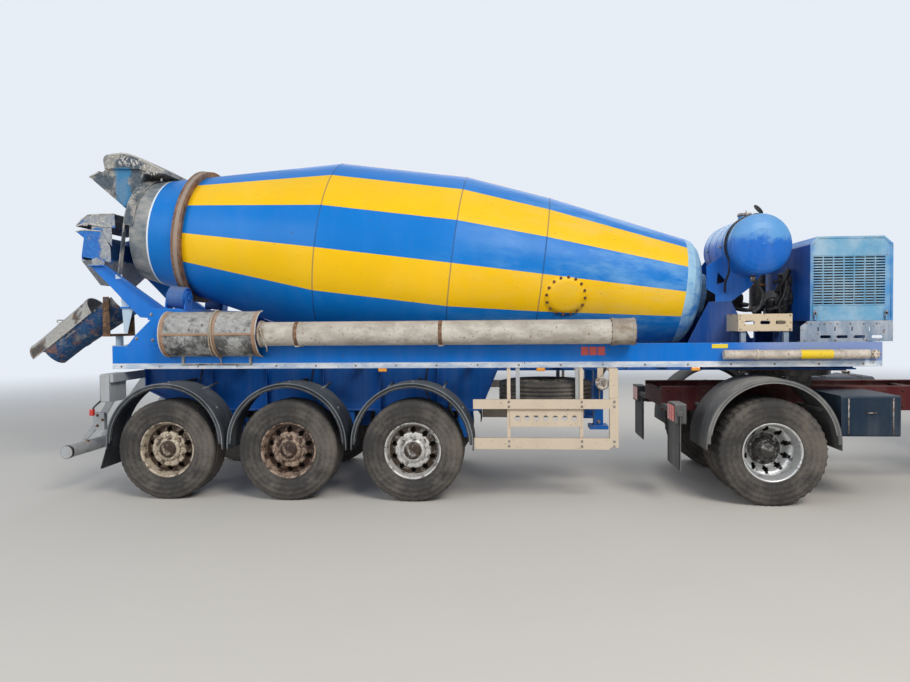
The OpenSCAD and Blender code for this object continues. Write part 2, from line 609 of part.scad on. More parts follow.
fold_pin_r = 14;
boss_y = sqrt(fold_r * fold_r - fold_pin_r * fold_pin_r) - gap;
rim_z = 3;
flange = 16;
flange_end = -95;
taper_x = -chute_l + 300;
function main_r(x) = x < taper_x ? chute_r : chute_r + (chute_head_r - chute_r) * (x - taper_x) / (60 - taper_x);
module chute_main() color(blue) chute_frame() {
  trough([[-chute_l, chute_r], [taper_x, chute_r], [60, chute_head_r]], concat(
    [[-chute_l, chute_r + chute_wall], [taper_x, chute_r + chute_wall]],
    [for (x = [taper_x + 60, -120]) each band(x, x + 40, main_r(x) + chute_wall, main_r(x + 40) + chute_wall)],
    [[60, chute_head_r + chute_wall]]), -1);
  translate([0, 0, -rim_z - 6]) linear_extrude(6) both_sides() polygon([
    [taper_x, -main_r(taper_x) - chute_wall - flange], [flange_end, -main_r(flange_end) - chute_wall - flange],
    [flange_end, -main_r(flange_end) - 1], [taper_x, -main_r(taper_x) - 1]]);
  both_sides() {
    bar_y([0, -yoke_y - 16, 0], yoke_y + 16 - chute_head_r, tilt_r);
    bar_y([-chute_l, -boss_y, 0], boss_y - chute_r, fold_pin_r);
    block([-30, -chute_head_r - chute_wall, -40], [30, -chute_head_r, 20]);
    block([-chute_l, -chute_r - chute_wall, -30], [-chute_l + 30, -chute_r, 10]);
  }
}
module chute_extension() color(blue) chute_frame() {
  trough([[-chute_l - fold_tail, fold_r], [fold_x, fold_r], [fold_end, fold_r + 30]], concat(
    [[-chute_l - fold_tail, fold_r + chute_wall], [fold_x, fold_r + chute_wall]],
    [for (x = [fold_x + 250, fold_end - 50]) each band(x, x + 40, fold_out(x), fold_out(x + 40))],
    [[fold_end, fold_r + 30 + chute_wall]]), 1);
}
fold_x = -chute_l + 30;
fold_end = -chute_l + 780;
function fold_out(x) = fold_r + chute_wall + 30 * (x - fold_x) / (fold_end - fold_x);

// Pipes and chutes stored on the side rail
pipe_r = 125;
pipe_y = rail_y + pipe_r + 5;
pipe_z = 1741;
module side_pipe() color(beige) on_trailer() difference() {
  union() {
    bar_x([-1590, -pipe_y, pipe_z], 3640, pipe_r);
    bar_x([2030, -pipe_y, pipe_z], 230, pipe_r + 8);
    for (x = [-1590, 2030, 2230]) bar_x([x, -pipe_y, pipe_z], 18, pipe_r + 14);
    for (x = [-1200, 300, 2058]) block([x - 25, -pipe_y - 40, pipe_z - pipe_r - 12], [x + 25, -rail_y, pipe_z - 100]);
  }
  bar_x([-1700, -pipe_y, pipe_z], 4100, pipe_r - 6);
}
store_r = 240;
store_z = 1743;
store_low_z = 1409;
module stored_chutes() color(dark) on_trailer() {
  translate([-2660, -rail_y - 2, store_z]) rotate([0, 90, 0]) linear_extrude(1040) difference() {
    circle(r = store_r);
    circle(r = store_r - 8);
    translate([-400, 0]) square([800, 400]);
  }
  for (b = [[-2660, 45], [-2120, 60], [-1665, 45]]) translate([b[0], -rail_y - 2, store_z]) rotate([0, 90, 0])
    linear_extrude(b[1]) difference() {
      circle(r = store_r + 5);
      circle(r = store_r - 1);
      translate([-400, 0]) square([800, 400]);
    }
  block([-2660, -rail_y - 2 - store_r - 6, store_z - 12], [-1620, -rail_y - store_r + 4, store_z + 12]);
  for (x = [-2518, -1774]) block([x, -rail_y - 12, store_low_z], [x + 30, -rail_y, store_z - store_r + 24]);
  block([-2518, -rail_y - 12, store_low_z], [-1744, -rail_y, store_low_z + 16]);
}
tube_r = 47;
tube_z = 1498;
module front_tube() color(beige) on_trailer() {
  bar_x([3160, -rail_y - tube_r - 6, tube_z], 1410, tube_r);
  for (x = [3487, 4300]) {
    block([x - 20, -rail_y - tube_r, tube_z - 30], [x + 20, -rail_y, tube_z + 30]);
    bar_x([x - 16, -rail_y - tube_r - 6, tube_z], 32, tube_r + 5);
  }
  bar_y([4640, -rail_y - 52, tube_z], 52, 43);
  bar_y([4640, -rail_y - 60, tube_z], 10, 30);
}

guard_y = 1225;
inlet = [1937, 1219];
module side_guards() color(beige) on_trailer() {
  post_y = -guard_y + 35;
  both_sides() {
    block([631, -guard_y, 966], [2000, post_y, 1063]);
    block([638, -guard_y, 557], [2000, post_y, 672]);
    block([2000, -guard_y, 577], [2088, post_y + 30, 1072]);
    for (p = [[975, 36, 640], [1705, 36, 640], [2000, 88, 1072]]) {
      block([p[0], post_y, p[2]], [p[0] + p[1], post_y + 30, rail_bot_z]);
      block([p[0], post_y, rail_bot_z - 30], [p[0] + p[1], -rail_in_y, rail_bot_z]);
    }
    sheet(post_y - 8, 8) difference() {
      translate([1000, 781]) square([720, 190]);
      for (i = [0:6]) translate([1080 + 95 * i, 870]) circle(r = 26, $fn = 32);
    }
  }
  difference() {
    union() {
      bar_y([inlet[0], -1160, inlet[1]], 190, 50);
      bar_y([inlet[0], -1170, inlet[1]], 30, 66);
      block([inlet[0] - 30, -990, inlet[1]], [inlet[0] + 30, -978, rail_bot_z]);
    }
    bar_y([inlet[0], -1171, inlet[1]], 182, 38);
  }
}

module tyre(r, w, bead) rotate([90, 0, 0]) rotate_extrude($fn = 96) polygon([
  [bead, -w * 0.36], [bead + 30, -w * 0.44], [(r + bead) / 2, -w / 2], [r - 60, -w * 0.47],
  [r - 14, -w * 0.43], [r, -w * 0.36], [r, w * 0.36], [r - 14, w * 0.43], [r - 60, w * 0.47],
  [(r + bead) / 2, w / 2], [bead + 30, w * 0.44], [bead, w * 0.36]]);

// Rim with its outer face to -Y: face is the outer side of the disc's bolted middle, measured from the
// tyre's centre plane, rise is how far the disc then runs outwards (or, below zero, inwards) to the barrel
rim_t = 12;
seat_r = bead_r - gap;
well_r = bead_r - 24;
vent_r = 22;
disc_t = 14;
module rim(w, face, rise, hole) {
  e = w * 0.4;
  rotate([90, 0, 0]) difference() {
    union() {
      rotate_extrude($fn = 96) polygon([
        [bead_r, -e], [bead_r + rim_t, -e], [bead_r + rim_t, -e + rim_t], [seat_r, -e + rim_t],
        [seat_r, -e + 44], [well_r, -e + 60], [well_r, e - 60], [seat_r, e - 44], [seat_r, e - rim_t],
        [bead_r + rim_t, e - rim_t], [bead_r + rim_t, e], [bead_r, e], [seat_r - rim_t, e - 14],
        [seat_r - rim_t, e - 48], [well_r - rim_t, e - 64], [well_r - rim_t, -e + 64], [seat_r - rim_t, -e + 48],
        [seat_r - rim_t, -e + 14]]);
      translate([0, 0, face]) rotate_extrude($fn = 96) polygon([
        [hole, -disc_t], [170, -disc_t], [240, rise - disc_t], [well_r - 4, rise - disc_t], [well_r - 4, rise],
        [238, rise], [168, 0], [hole, 0]]);
    }
    for (a = [0:36:359]) rotate([0, 0, a]) translate([213, 0, face + min(0, rise) - 40])
      cylinder(h = abs(rise) + 80, r = vent_r, $fn = 24);
  }
}

module tyre_on_rim(r, w) difference() {
  tyre(r, w, bead_r);
  for (y = [-w * 0.4 - 2 * gap, w * 0.4 - rim_t - gap]) bar_y([0, y, 0], rim_t + 3 * gap, bead_r + rim_t + gap);
}

// Hub from inner to outer, measured outwards from the wheel's centre plane and bored for its spindle;
// its flange ends at the disc's inner side, at seat
spindle_r = 40;
wheel_hub_r = 130;
hub_cap = 30;
module wheel_hub(inner, seat, outer) rotate([90, 0, 0]) difference() {
  union() {
    translate([0, 0, inner]) cylinder(h = seat - inner + eps, r = wheel_hub_r);
    translate([0, 0, inner]) cylinder(h = outer - inner, r = 88);
  }
  translate([0, 0, inner - 1]) cylinder(h = outer - inner - hub_cap + 1, r = spindle_r + gap);
}

module wheel(r, w, face, rise, hub) {
  color("black") tyre_on_rim(r, w);
  color(steel) {
    rim(w, face, rise, 110);
    wheel_hub(hub[0], face - disc_t, hub[1]);
  }
}

// Trailer wheels: axle number from the rear, side -1 is the right
function axle_x(n) = (n - 3) * axle_pitch;
module trailer_wheel(n, side) on_trailer() translate([axle_x(n), side * trailer_track / 2, trailer_tyre_r])
  mirror([0, side > 0 ? 1 : 0, 0]) wheel(trailer_tyre_r, trailer_tyre_w, 104, -40, trailer_hub);
trailer_hub = [-110, 150];
module wheel_1_right() trailer_wheel(1, -1);
module wheel_1_left() trailer_wheel(1, 1);
module wheel_2_right() trailer_wheel(2, -1);
module wheel_2_left() trailer_wheel(2, 1);
module wheel_3_right() trailer_wheel(3, -1);
module wheel_3_left() trailer_wheel(3, 1);

module trailer_axles() color(dark) on_trailer() for (n = [1:3]) {
  y0 = trailer_track / 2;
  bar_y([axle_x(n), -y0 + 200, trailer_tyre_r], 2 * y0 - 400, 64);
  tip = y0 + trailer_hub[1] - hub_cap - 20;
  bar_y([axle_x(n), -tip, trailer_tyre_r], 2 * tip, spindle_r);
  for (s = [-1, 1]) bar_y([axle_x(n), s * (y0 - 160) - 30, trailer_tyre_r], 60, 150);
}

module suspension() color(dark) on_trailer() for (n = [1:3]) both_sides() {
  translate([axle_x(n), 0, 0]) {
    side_plate([[420, deep_z], [560, deep_z], [540, 560], [460, 560]], -beam_y - 50, 8);
    side_plate([[420, deep_z], [560, deep_z], [540, 560], [460, 560]], -beam_y + 42, 8);
    side_plate([[520, 560], [520, 620], [90, 640], [-480, 640], [-480, 600], [90, 600]], -beam_y - 42, 84);
    block([-480, -beam_y - 42, 590], [520, -beam_y + 42, 640]);
    bar_z([-380, -beam_y, 640], deep_z - 640, 140);
  }
}

guard_r = 625;
guard_z = 600;
module mudguard(r, w, drop) {
  rotate([90, 0, 0]) rotate_extrude(angle = 180) polygon([[r, 0], [r + 8, 0], [r + 8, w], [r - 30, w], [r - 30, w - 8], [r, w - 8]]);
  for (s = [-1, 1]) translate([s > 0 ? r : -r - 8, -w, -drop]) cube([8, w, drop]);
}
guard_w = 420;
guard_out = 1240;
module trailer_mudguards() color(dark) on_trailer() for (n = [1:3]) both_sides() {
  translate([axle_x(n), -guard_out + guard_w, guard_z]) mudguard(guard_r, guard_w, 60);
  if (n == 1) side_plate([[axle_x(n) - guard_r - 8, guard_z - 55], [axle_x(n) - guard_r, guard_z - 55],
    [axle_x(n) - guard_r - 60, 330], [axle_x(n) - guard_r - 72, 334]], -guard_out, guard_w);
  bar_y([axle_x(n), -1100, guard_z + guard_r - 15], 1100 - beam_y - web_t / 2, 20);
}

bumper_x = -3720;
bumper_z = 495;
bumper_r = 68;
lamp_box = [beam_rear_x - end_t - 136, beam_rear_x - end_t - 40, 1029, 1328];
module rear_bumper() color(steel) on_trailer() {
  bar_y([bumper_x, -1200, bumper_z], 2400, bumper_r);
  both_sides() {
    side_plate([[bumper_x, bumper_z + 45], [beam_rear_x - end_t, deep_z + 240],
      [beam_rear_x - end_t, deep_z + 400], [beam_rear_x - 80, deep_z + 400], [bumper_x - 60, bumper_z + 65]],
      -beam_y - 6, 12);
    side_plate([[bumper_x - 40, bumper_z + 25], [bumper_x + 180, 740], [lamp_box[1], 1240], [lamp_box[1], 1290],
      [lamp_box[1] - 60, 1290], [bumper_x + 120, 780], [bumper_x - 70, bumper_z + 50]], -852, 12);
    block([bumper_x + 110, -880, 690], [bumper_x + 240, -820, 880]);
    for (y = [-1190, -1020]) rounded_box([lamp_box[0], y, lamp_box[2]], [lamp_box[1], y + 160, lamp_box[3]], 14);
  }
  block([lamp_box[1], -1180, 1240], [beam_rear_x - end_t, 1180, 1330]);
}

lens_t = 12;
module trailer_lamps() color("firebrick") on_trailer() both_sides() for (y = [-1190, -1020])
  rounded_box([lamp_box[0] - lens_t, y + 14, lamp_box[2] + 20], [lamp_box[0], y + 146, lamp_box[3] - 20], 10);

module landing_legs() color(dark) on_trailer() both_sides() {
  block([1930, -beam_y - 60, 700], [2030, -beam_y + 60, goose_z]);
  block([1880, -beam_y - 110, 660], [2080, -beam_y + 110, 700]);
}

cradle_z = 985;
spare_w = 240;
spare_x = 1385;
spare_y = -690;
module spare_wheel() on_trailer() translate([spare_x, spare_y, cradle_z + spare_w / 2 + gap]) rotate([90, 0, 0]) {
  color("black") tyre_on_rim(trailer_tyre_r - 30, spare_w);
  color(steel) rim(spare_w, 40, -30, 110);
}

module spare_cradle() color(steel) on_trailer() {
  for (x = [spare_x - 300, spare_x + 300]) {
    block([x - 20, -1170, cradle_z - 25], [x + 20, -165, cradle_z]);
    block([x - 20, -1170, cradle_z - 25], [x + 20, -1150, rail_bot_z]);
    block([x - 20, -1170, rail_bot_z - 20], [x + 20, -rail_in_y, rail_bot_z]);
  }
  block([spare_x - 300, -190, cradle_z - 25], [spare_x + 300, -165, cradle_z]);
  block([cross_stations[4] - 20, -185, cradle_z - 25], [cross_stations[4] + 20, -165, cross_z]);
}

// Tractor
frame_z = [860, 1120];
frame_y = 450;
frame_front = front_x - 240;
frame_rear = -1480;
module tractor_frame() color("maroon") on_tractor() {
  both_sides() block([frame_rear, -frame_y, frame_z[0]], [frame_front, -frame_y + 20, frame_z[1]]);
  both_sides() for (z = [frame_z[0], frame_z[1] - 10])
    block([frame_rear, -frame_y, z], [frame_front, -frame_y + 80, z + 10]);
  for (x = [frame_rear + 30, -300, front_axle_x - 1640, frame_front - 40]) block([x - 30, -430, frame_z[0] + 40], [x + 30, 430, frame_z[1] - 40]);
  both_sides() {
    block([cab_x0 + 60, -frame_y, frame_z[1]], [cab_x0 + 160, -frame_y + 80, cab_bot_z - gap]);
    block([frame_front - 60, -frame_y, tilt_z - 50], [tilt_x + 25, -frame_y + 20, tilt_z + 25]);
    bar_y([tilt_x, -frame_y - 30, tilt_z], 30, tilt_pin_r);
  }
}

module fifth_wheel() color(dark) on_tractor() difference() {
  union() {
    bar_z([0, 0, coupling_z - 60 - gap], 60, 480);
    for (s = [-1, 1]) block([-120, s * 410 - 40, frame_z[1]], [120, s * 410 + 40, coupling_z - 60]);
  }
  bar_z([0, 0, frame_z[1]], 300, king_r + gap);
  block([-600, -king_r - gap, frame_z[1] + 10], [0, king_r + gap, coupling_z + 10]);
}

tractor_guard_r = 640;
tractor_guard_z = 620;
module tractor_mudguards() color(steel) on_tractor() both_sides() {
  translate([-fifth_lead, -600, tractor_guard_z]) mudguard(tractor_guard_r, 640, 60);
  block([frame_rear, -1200, frame_z[0] + 30], [frame_rear + 50, -frame_y, frame_z[0] + 80]);
  rounded_box([frame_rear - 20, -1180, 808], [frame_rear + 90, -860, 1009], 16);
  block([frame_rear + 20, -1220, 345], [frame_rear + 28, -680, frame_z[0] + 40]);
  for (s = [-1, 1]) bar_y([-fifth_lead + s * (tractor_guard_r - 15) * cos(30), -1000,
    tractor_guard_z + (tractor_guard_r - 15) * sin(30)], 1000 - frame_y, 20);
}

module tractor_axles() color(dark) on_tractor() {
  bar_y([-fifth_lead, -560, tractor_tyre_r], 1120, 80);
  translate([-fifth_lead, 0, tractor_tyre_r]) sphere(r = 210);
  bar_y([-fifth_lead, -twin_tip, tractor_tyre_r], 2 * twin_tip, spindle_r);
  for (s = [-1, 1]) bar_z([-fifth_lead - 300, s * 400, tractor_tyre_r + 40], frame_z[0] - tractor_tyre_r - 40, 90);
  block([-fifth_lead - 380, -480, tractor_tyre_r - 20], [-fifth_lead + 60, 480, tractor_tyre_r + 40]);
  difference() {
    union() {
      block([front_axle_x - 45, -king_y, eye_z[0] + 10], [front_axle_x + 45, king_y, eye_z[1] - 10]);
      for (s = [-1, 1]) bar_z([front_axle_x, s * king_y, eye_z[0]], eye_z[1] - eye_z[0], 50);
    }
    for (s = [-1, 1]) bar_z([front_axle_x, s * king_y, eye_z[0] - 1], 200, steer_r + gap);
  }
  for (s = [-1, 1]) {
    block([front_axle_x - 700, s * 410 - 35, eye_z[1] - 10], [front_axle_x + 700, s * 410 + 35, eye_z[1] + 30]);
    for (e = [-1, 1]) block([front_axle_x + e * 670 - 30, s * 410 - 35, eye_z[1] + 20],
      [front_axle_x + e * 670 + 30, s * 410 + 35, frame_z[0]]);
  }
}

// Steering knuckle: fork over the axle's eye, steering pin and wheel spindle
king_y = 800;
steer_r = 20;
eye_z = [450, 550];
module knuckle(side) color(steel) on_tractor() translate([front_axle_x, side * king_y, 0])
  mirror([0, side > 0 ? 1 : 0, 0]) {
    bar_z([0, 0, eye_z[0] - 30], eye_z[1] - eye_z[0] + 60, steer_r);
    for (z = [eye_z[0] - 30, eye_z[1] + gap]) block([-40, -90, z], [40, 30, z + 30 - gap]);
    block([-40, -90, eye_z[0] - 30], [40, -58, tractor_tyre_r + 60]);
    bar_y([0, -front_track / 2 + king_y - front_hub[1] + hub_cap + 20, tractor_tyre_r],
      front_track / 2 - king_y + front_hub[1] - hub_cap - 80, spindle_r);
  }
module knuckle_right() knuckle(-1);
module knuckle_left() knuckle(1);

front_hub = [-115, 110];
module front_wheel(side) on_tractor() translate([front_axle_x, side * front_track / 2, tractor_tyre_r])
  mirror([0, side > 0 ? 1 : 0, 0]) wheel(tractor_tyre_r, tractor_tyre_w, 80, -40, front_hub);
module front_wheel_right() front_wheel(-1);
module front_wheel_left() front_wheel(1);

// Twin wheel: the two discs meet in the middle of the pair and share one hub
twin_hub = [-150, 170];
twin_tip = twin_track / 2 + twin_hub[1] - hub_cap - 20;
module twin_wheel(side) on_tractor() translate([-fifth_lead, side * twin_track / 2, tractor_tyre_r])
  mirror([0, side > 0 ? 1 : 0, 0]) {
    for (k = [0, 1]) mirror([0, k, 0]) translate([0, -twin_pitch / 2, 0]) {
      color("black") tyre_on_rim(tractor_tyre_r, tractor_tyre_w);
      color(steel) rim(tractor_tyre_w, -twin_pitch / 2 + disc_t, 108, 110);
    }
    color(steel) wheel_hub(twin_hub[0], -disc_t, twin_hub[1]);
  }
module twin_wheel_right() twin_wheel(-1);
module twin_wheel_left() twin_wheel(1);

module tractor_engine() color(dark) on_tractor() {
  block([front_axle_x - 500, -frame_y + 80 + gap, 640], [front_axle_x + 700, frame_y - 80 - gap, 1130]);
  block([front_axle_x - 1300, -220, 700], [front_axle_x - 500, 220, 1050]);
}

module side_tanks() color(dark) on_tractor() {
  rounded_box([90, -1200, 693], [650, -frame_y, 1094], 24);
  rounded_box([90, frame_y, 640], [1250, 1180, 1150], 110);
}

module front_bumper() color("white") on_tractor() {
  difference() {
    side_plate([[front_x - 240, 320], [front_x - 240, 820], [front_x - 20, 820], [front_x, 790],
      [front_x, 420], [front_x - 60, 320]], -1240, 2480);
    both_sides() block([front_x - 30, -1130, 560], [front_x + 1, -720, 730]);
    block([front_x - 60, -500, 640], [front_x + 1, 500, 740]);
    bar_x([front_x - 120, -380, 480], 121, 38);
  }
  both_sides() block([frame_front - 60, -frame_y, 700], [frame_front, -frame_y + 50, frame_z[0]]);
  both_sides() difference() {
    block([front_x - 480, -1240, 320], [front_x - 240, -1100, 820]);
    for (z = [380, 600]) block([front_x - 450, -1241, z], [front_x - 270, -1120, z + 150]);
  }
}

// Cab: floor at cab_z, hollow, windows and door openings cut, tilting on two pins under its nose
cab_z = 1240;
cab_bot_z = 1160;
nose_bot_z = 1000;
tilt_x = front_x - 140;
tilt_z = 950;
tilt_pin_r = 20;
cab_x0 = front_x - 60 - cab_l;
cab_x1 = front_x - 60;
door_x = [cab_x1 - 1250, cab_x1 - 260];
door_gap = 6;
wall = 60;
sill_z = 1900;
glass_t = 6;
screen_z = [1880, cab_top_z - 330];
nose_z = 1800;
rake = 160 / (cab_top_z - 260 - nose_z);
function nose_x(z) = cab_x1 - rake * (z - nose_z);

module cab_shell() color("white") on_tractor() {
  both_sides() difference() {
    block([tilt_x - 30, -frame_y - 26, tilt_z - 30], [tilt_x + 30, -frame_y - 2, nose_bot_z]);
    bar_y([tilt_x, -frame_y - 30, tilt_z], 40, tilt_pin_r + gap);
  }
  both_sides() for (z = door_hinges) {
    bar_z([door_x[1] - door_gap, -hinge_y, z - 50 - gap], 50, hinge_r);
    block([door_x[1] - door_gap, -hinge_y - hinge_r / 2, z - 50 - gap], [door_x[1] + 50, -cab_y, z - gap]);
  }
  cab_body();
}
hinge_r = 11;
hinge_y = cab_y + 14;
door_hinges = [1500, 2300];
module cab_body() difference() {
  side_plate([[cab_x0, cab_bot_z], [cab_x0, cab_top_z - 60], [cab_x0 + 60, cab_top_z], [cab_x1 - 420, cab_top_z],
    [cab_x1 - 160, cab_top_z - 260], [cab_x1, nose_z], [cab_x1, nose_bot_z], [cab_x1 - 120, nose_bot_z],
    [cab_x1 - 160, cab_bot_z]], -cab_y, 2 * cab_y);
  side_plate([[cab_x0 + wall, cab_z], [cab_x0 + wall, cab_top_z - 80], [cab_x1 - 440, cab_top_z - 60],
    [cab_x1 - 230, cab_top_z - 280], [cab_x1 - wall, nose_z], [cab_x1 - wall, cab_z]],
    -cab_y + wall, 2 * cab_y - 2 * wall);
  both_sides() block([door_x[0], -cab_y - 1, 1200], [door_x[1], -cab_y + wall + 1, cab_top_z - 160]);
  block([cab_x1 - 400, -cab_y + 160, screen_z[0]], [cab_x1 + 10, cab_y - 160, screen_z[1]]);
  for (z = grille_zs) block([cab_x1 - 24, -820, z], [cab_x1 + 1, 820, z + 52]);
}
grille_zs = [1120, 1210, 1300, 1390, 1480];
module cab_glass() color("lightblue") on_tractor()
  side_plate([[nose_x(screen_z[0]) - 30, screen_z[0] + gap], [nose_x(screen_z[0]) - 30 + glass_t, screen_z[0] + gap],
    [nose_x(screen_z[1]) - 30 + glass_t, screen_z[1] - gap], [nose_x(screen_z[1]) - 30, screen_z[1] - gap]],
    -cab_y + 160 + gap, 2 * (cab_y - 160 - gap));

// Doors with their mirrors; the hinge line is at the front edge of the outer face
door_w = [door_x[0] + 110, door_x[1] - 110, sill_z, cab_top_z - 260];
module door(side) color("white") on_tractor() mirror([0, side > 0 ? 1 : 0, 0]) {
  difference() {
    block([door_x[0] + door_gap, -cab_y, 1200 + door_gap],
      [door_x[1] - door_gap, -cab_y + wall - 5, cab_top_z - 160 - door_gap]);
    block([door_w[0], -cab_y - 1, door_w[2]], [door_w[1], -cab_y + wall + 1, door_w[3]]);
  }
  for (z = door_hinges) {
    bar_z([door_x[1] - door_gap, -hinge_y, z], 50, hinge_r);
    block([door_x[1] - 60, -hinge_y - hinge_r / 2, z], [door_x[1] - door_gap, -cab_y, z + 50]);
  }
  block([door_x[1] - 100, -cab_y - 170, 2500], [door_x[1] - 70, -cab_y, 2530]);
  block([door_x[1] - 110, -cab_y - 380, 2050], [door_x[1] - 60, -cab_y - 160, 2560]);
}
module door_right() door(-1);
module door_left() door(1);
module door_glass(side) color("lightblue") on_tractor() mirror([0, side > 0 ? 1 : 0, 0])
  block([door_w[0] + gap, -cab_y + 20, door_w[2] + gap], [door_w[1] - gap, -cab_y + 20 + glass_t, door_w[3] - gap]);
module door_glass_right() door_glass(-1);
module door_glass_left() door_glass(1);

seat_y = 560;
seat_x = cab_x0 + 500;
module seats() color("darkslategray") on_tractor() for (y = [-seat_y, seat_y]) {
  block([seat_x + 60, y - 190, cab_z], [seat_x + 440, y + 190, cab_z + 280]);
  side_plate([[seat_x, cab_z + 280], [seat_x + 520, cab_z + 280], [seat_x + 520, cab_z + 380],
    [seat_x + 480, cab_z + 420], [seat_x, cab_z + 420]], y - 250, 500);
  side_plate([[seat_x - 10, cab_z + 420], [seat_x + 120, cab_z + 420], [seat_x + 30, cab_z + 1010],
    [seat_x - 80, cab_z + 1010]], y - 240, 480);
  side_plate([[seat_x - 70, cab_z + 1010], [seat_x + 10, cab_z + 1010], [seat_x - 10, cab_z + 1180],
    [seat_x - 90, cab_z + 1180]], y - 130, 260);
}

// Dashboard with the steering column and wheel on the left
wheel_x = cab_x1 - 470;
wheel_z = cab_z + 640;
module dashboard() color(dark) on_tractor() {
  side_plate([[cab_x1 - 420, cab_z + 300], [cab_x1 - 420, nose_z - 60], [cab_x1 - 380, nose_z - 20],
    [cab_x1 - wall - gap, nose_z - 20], [cab_x1 - wall - gap, cab_z + 200], [cab_x1 - 200, cab_z + 200]],
    -cab_y + wall + gap, 2 * (cab_y - wall - gap));
  translate([wheel_x, seat_y, wheel_z]) rotate([0, -35, 0]) {
    rotate_extrude($fn = 48) translate([215, 0]) circle(r = 14, $fn = 16);
    for (a = [90, 210, 330]) rotate([0, 0, a]) translate([0, -18, -6]) cube([215, 36, 12]);
    cylinder(h = 30, r = 60, center = true);
    translate([0, 0, -260]) cylinder(h = 260, r = 34);
  }
}

chassis();
cross_members();
kingpin_plate();
side_rails();
rear_pedestal();
front_pedestal();
drum_gearbox();
engine_base();
engine_block();
engine_hood();
water_tank();
charging_hopper();
discharge_hopper();
side_pipe();
stored_chutes();
front_tube();
side_guards();
spare_wheel();
spare_cradle();
trailer_axles();
suspension();
trailer_mudguards();
rear_bumper();
trailer_lamps();
landing_legs();
drum();
drum_flights();
track_ring();
roller_right();
roller_left();
chute_bracket();
chute_main();
chute_extension();
wheel_1_right();
wheel_1_left();
wheel_2_right();
wheel_2_left();
wheel_3_right();
wheel_3_left();
tractor_frame();
fifth_wheel();
tractor_mudguards();
tractor_axles();
tractor_engine();
side_tanks();
front_bumper();
knuckle_right();
knuckle_left();
front_wheel_right();
front_wheel_left();
twin_wheel_right();
twin_wheel_left();
cab_shell();
cab_glass();
door_right();
door_left();
door_glass_right();
door_glass_left();
seats();
dashboard();
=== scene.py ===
# An articulated concrete mixer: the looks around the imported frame, in metres
import json
import math
import random

import bmesh
import bpy
from mathutils import Matrix, Vector


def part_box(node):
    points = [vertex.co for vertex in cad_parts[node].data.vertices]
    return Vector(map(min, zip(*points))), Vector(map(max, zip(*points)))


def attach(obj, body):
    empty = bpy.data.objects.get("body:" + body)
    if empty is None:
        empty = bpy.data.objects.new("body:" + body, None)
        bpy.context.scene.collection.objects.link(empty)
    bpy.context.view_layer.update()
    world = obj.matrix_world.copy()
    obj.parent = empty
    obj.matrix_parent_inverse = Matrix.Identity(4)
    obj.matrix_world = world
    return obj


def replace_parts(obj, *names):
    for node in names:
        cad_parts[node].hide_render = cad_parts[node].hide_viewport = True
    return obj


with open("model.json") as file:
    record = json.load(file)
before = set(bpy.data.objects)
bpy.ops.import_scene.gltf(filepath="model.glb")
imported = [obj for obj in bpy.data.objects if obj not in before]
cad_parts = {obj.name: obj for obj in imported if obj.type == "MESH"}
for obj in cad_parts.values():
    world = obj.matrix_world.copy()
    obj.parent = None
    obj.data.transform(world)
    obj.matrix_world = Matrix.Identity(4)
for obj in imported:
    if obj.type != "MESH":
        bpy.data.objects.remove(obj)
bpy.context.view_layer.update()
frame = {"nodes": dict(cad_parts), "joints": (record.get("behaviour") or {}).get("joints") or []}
nodes = frame["nodes"]
joints = {j["name"]: j for j in frame["joints"]}
scene = bpy.context.scene
scene.view_settings.view_transform = "Standard"


# Camera at a bystander's eye height on the lorry's right-hand side, square to the semi-trailer
# but for a few degrees. Stations are measured forward from the trailer's front axle, in millimetres.
def middle(name):
    low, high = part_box(name)
    return (low + high) / 2


trailer_x = middle("wheel_3_right").x


def at_trailer(x, y, z):
    return Vector((trailer_x + x / 1000, y / 1000, z / 1000))


eye = at_trailer(986, -8302, 1840)
yaw, pitch, roll = math.radians(4.31), math.radians(-1.47), math.radians(0.48)
focal_px = 700
photo_w = 910
level = Vector((math.cos(yaw), math.sin(yaw), 0))
ahead = Vector((-math.sin(yaw) * math.cos(pitch), math.cos(yaw) * math.cos(pitch), math.sin(pitch)))
above = level.cross(ahead)
side = math.cos(roll) * level - math.sin(roll) * above
above = math.sin(roll) * level + math.cos(roll) * above
camera = bpy.data.objects.new("camera", bpy.data.cameras.new("camera"))
camera.data.sensor_width = 36
camera.data.lens = camera.data.sensor_width * focal_px / photo_w
camera.data.clip_end = 200
camera.matrix_world = Matrix.Translation(eye) @ Matrix((side, above, -ahead)).transposed().to_4x4()
scene.collection.objects.link(camera)
scene.camera = camera


# Studio: a pale floor that runs into the backdrop without an edge, one large soft key from the front
# right, a fill and a low back light. The backdrop's colour is seen only by the camera and in reflections.
def add_node(tree, kind, sockets=None, **settings):
    made = tree.nodes.new("ShaderNode" + kind)
    for name, value in settings.items():
        setattr(made, name, value)
    for name, value in (sockets or {}).items():
        if isinstance(value, bpy.types.NodeSocket):
            tree.links.new(value, made.inputs[name])
        else:
            made.inputs[name].default_value = value
    return made


def tree_of(*values):
    """The node tree that the first socket among the values is in."""
    return next(v.id_data for v in values if isinstance(v, bpy.types.NodeSocket))


def maths(operation, a, b=0.0, clamp=False):
    return add_node(tree_of(a, b), "Math", {0: a, 1: b}, operation=operation, use_clamp=clamp).outputs[0]


def times(a, b, clamp=False):
    return maths("MULTIPLY", a, b, clamp)


def larger(a, b):
    return maths("MAXIMUM", a, b)


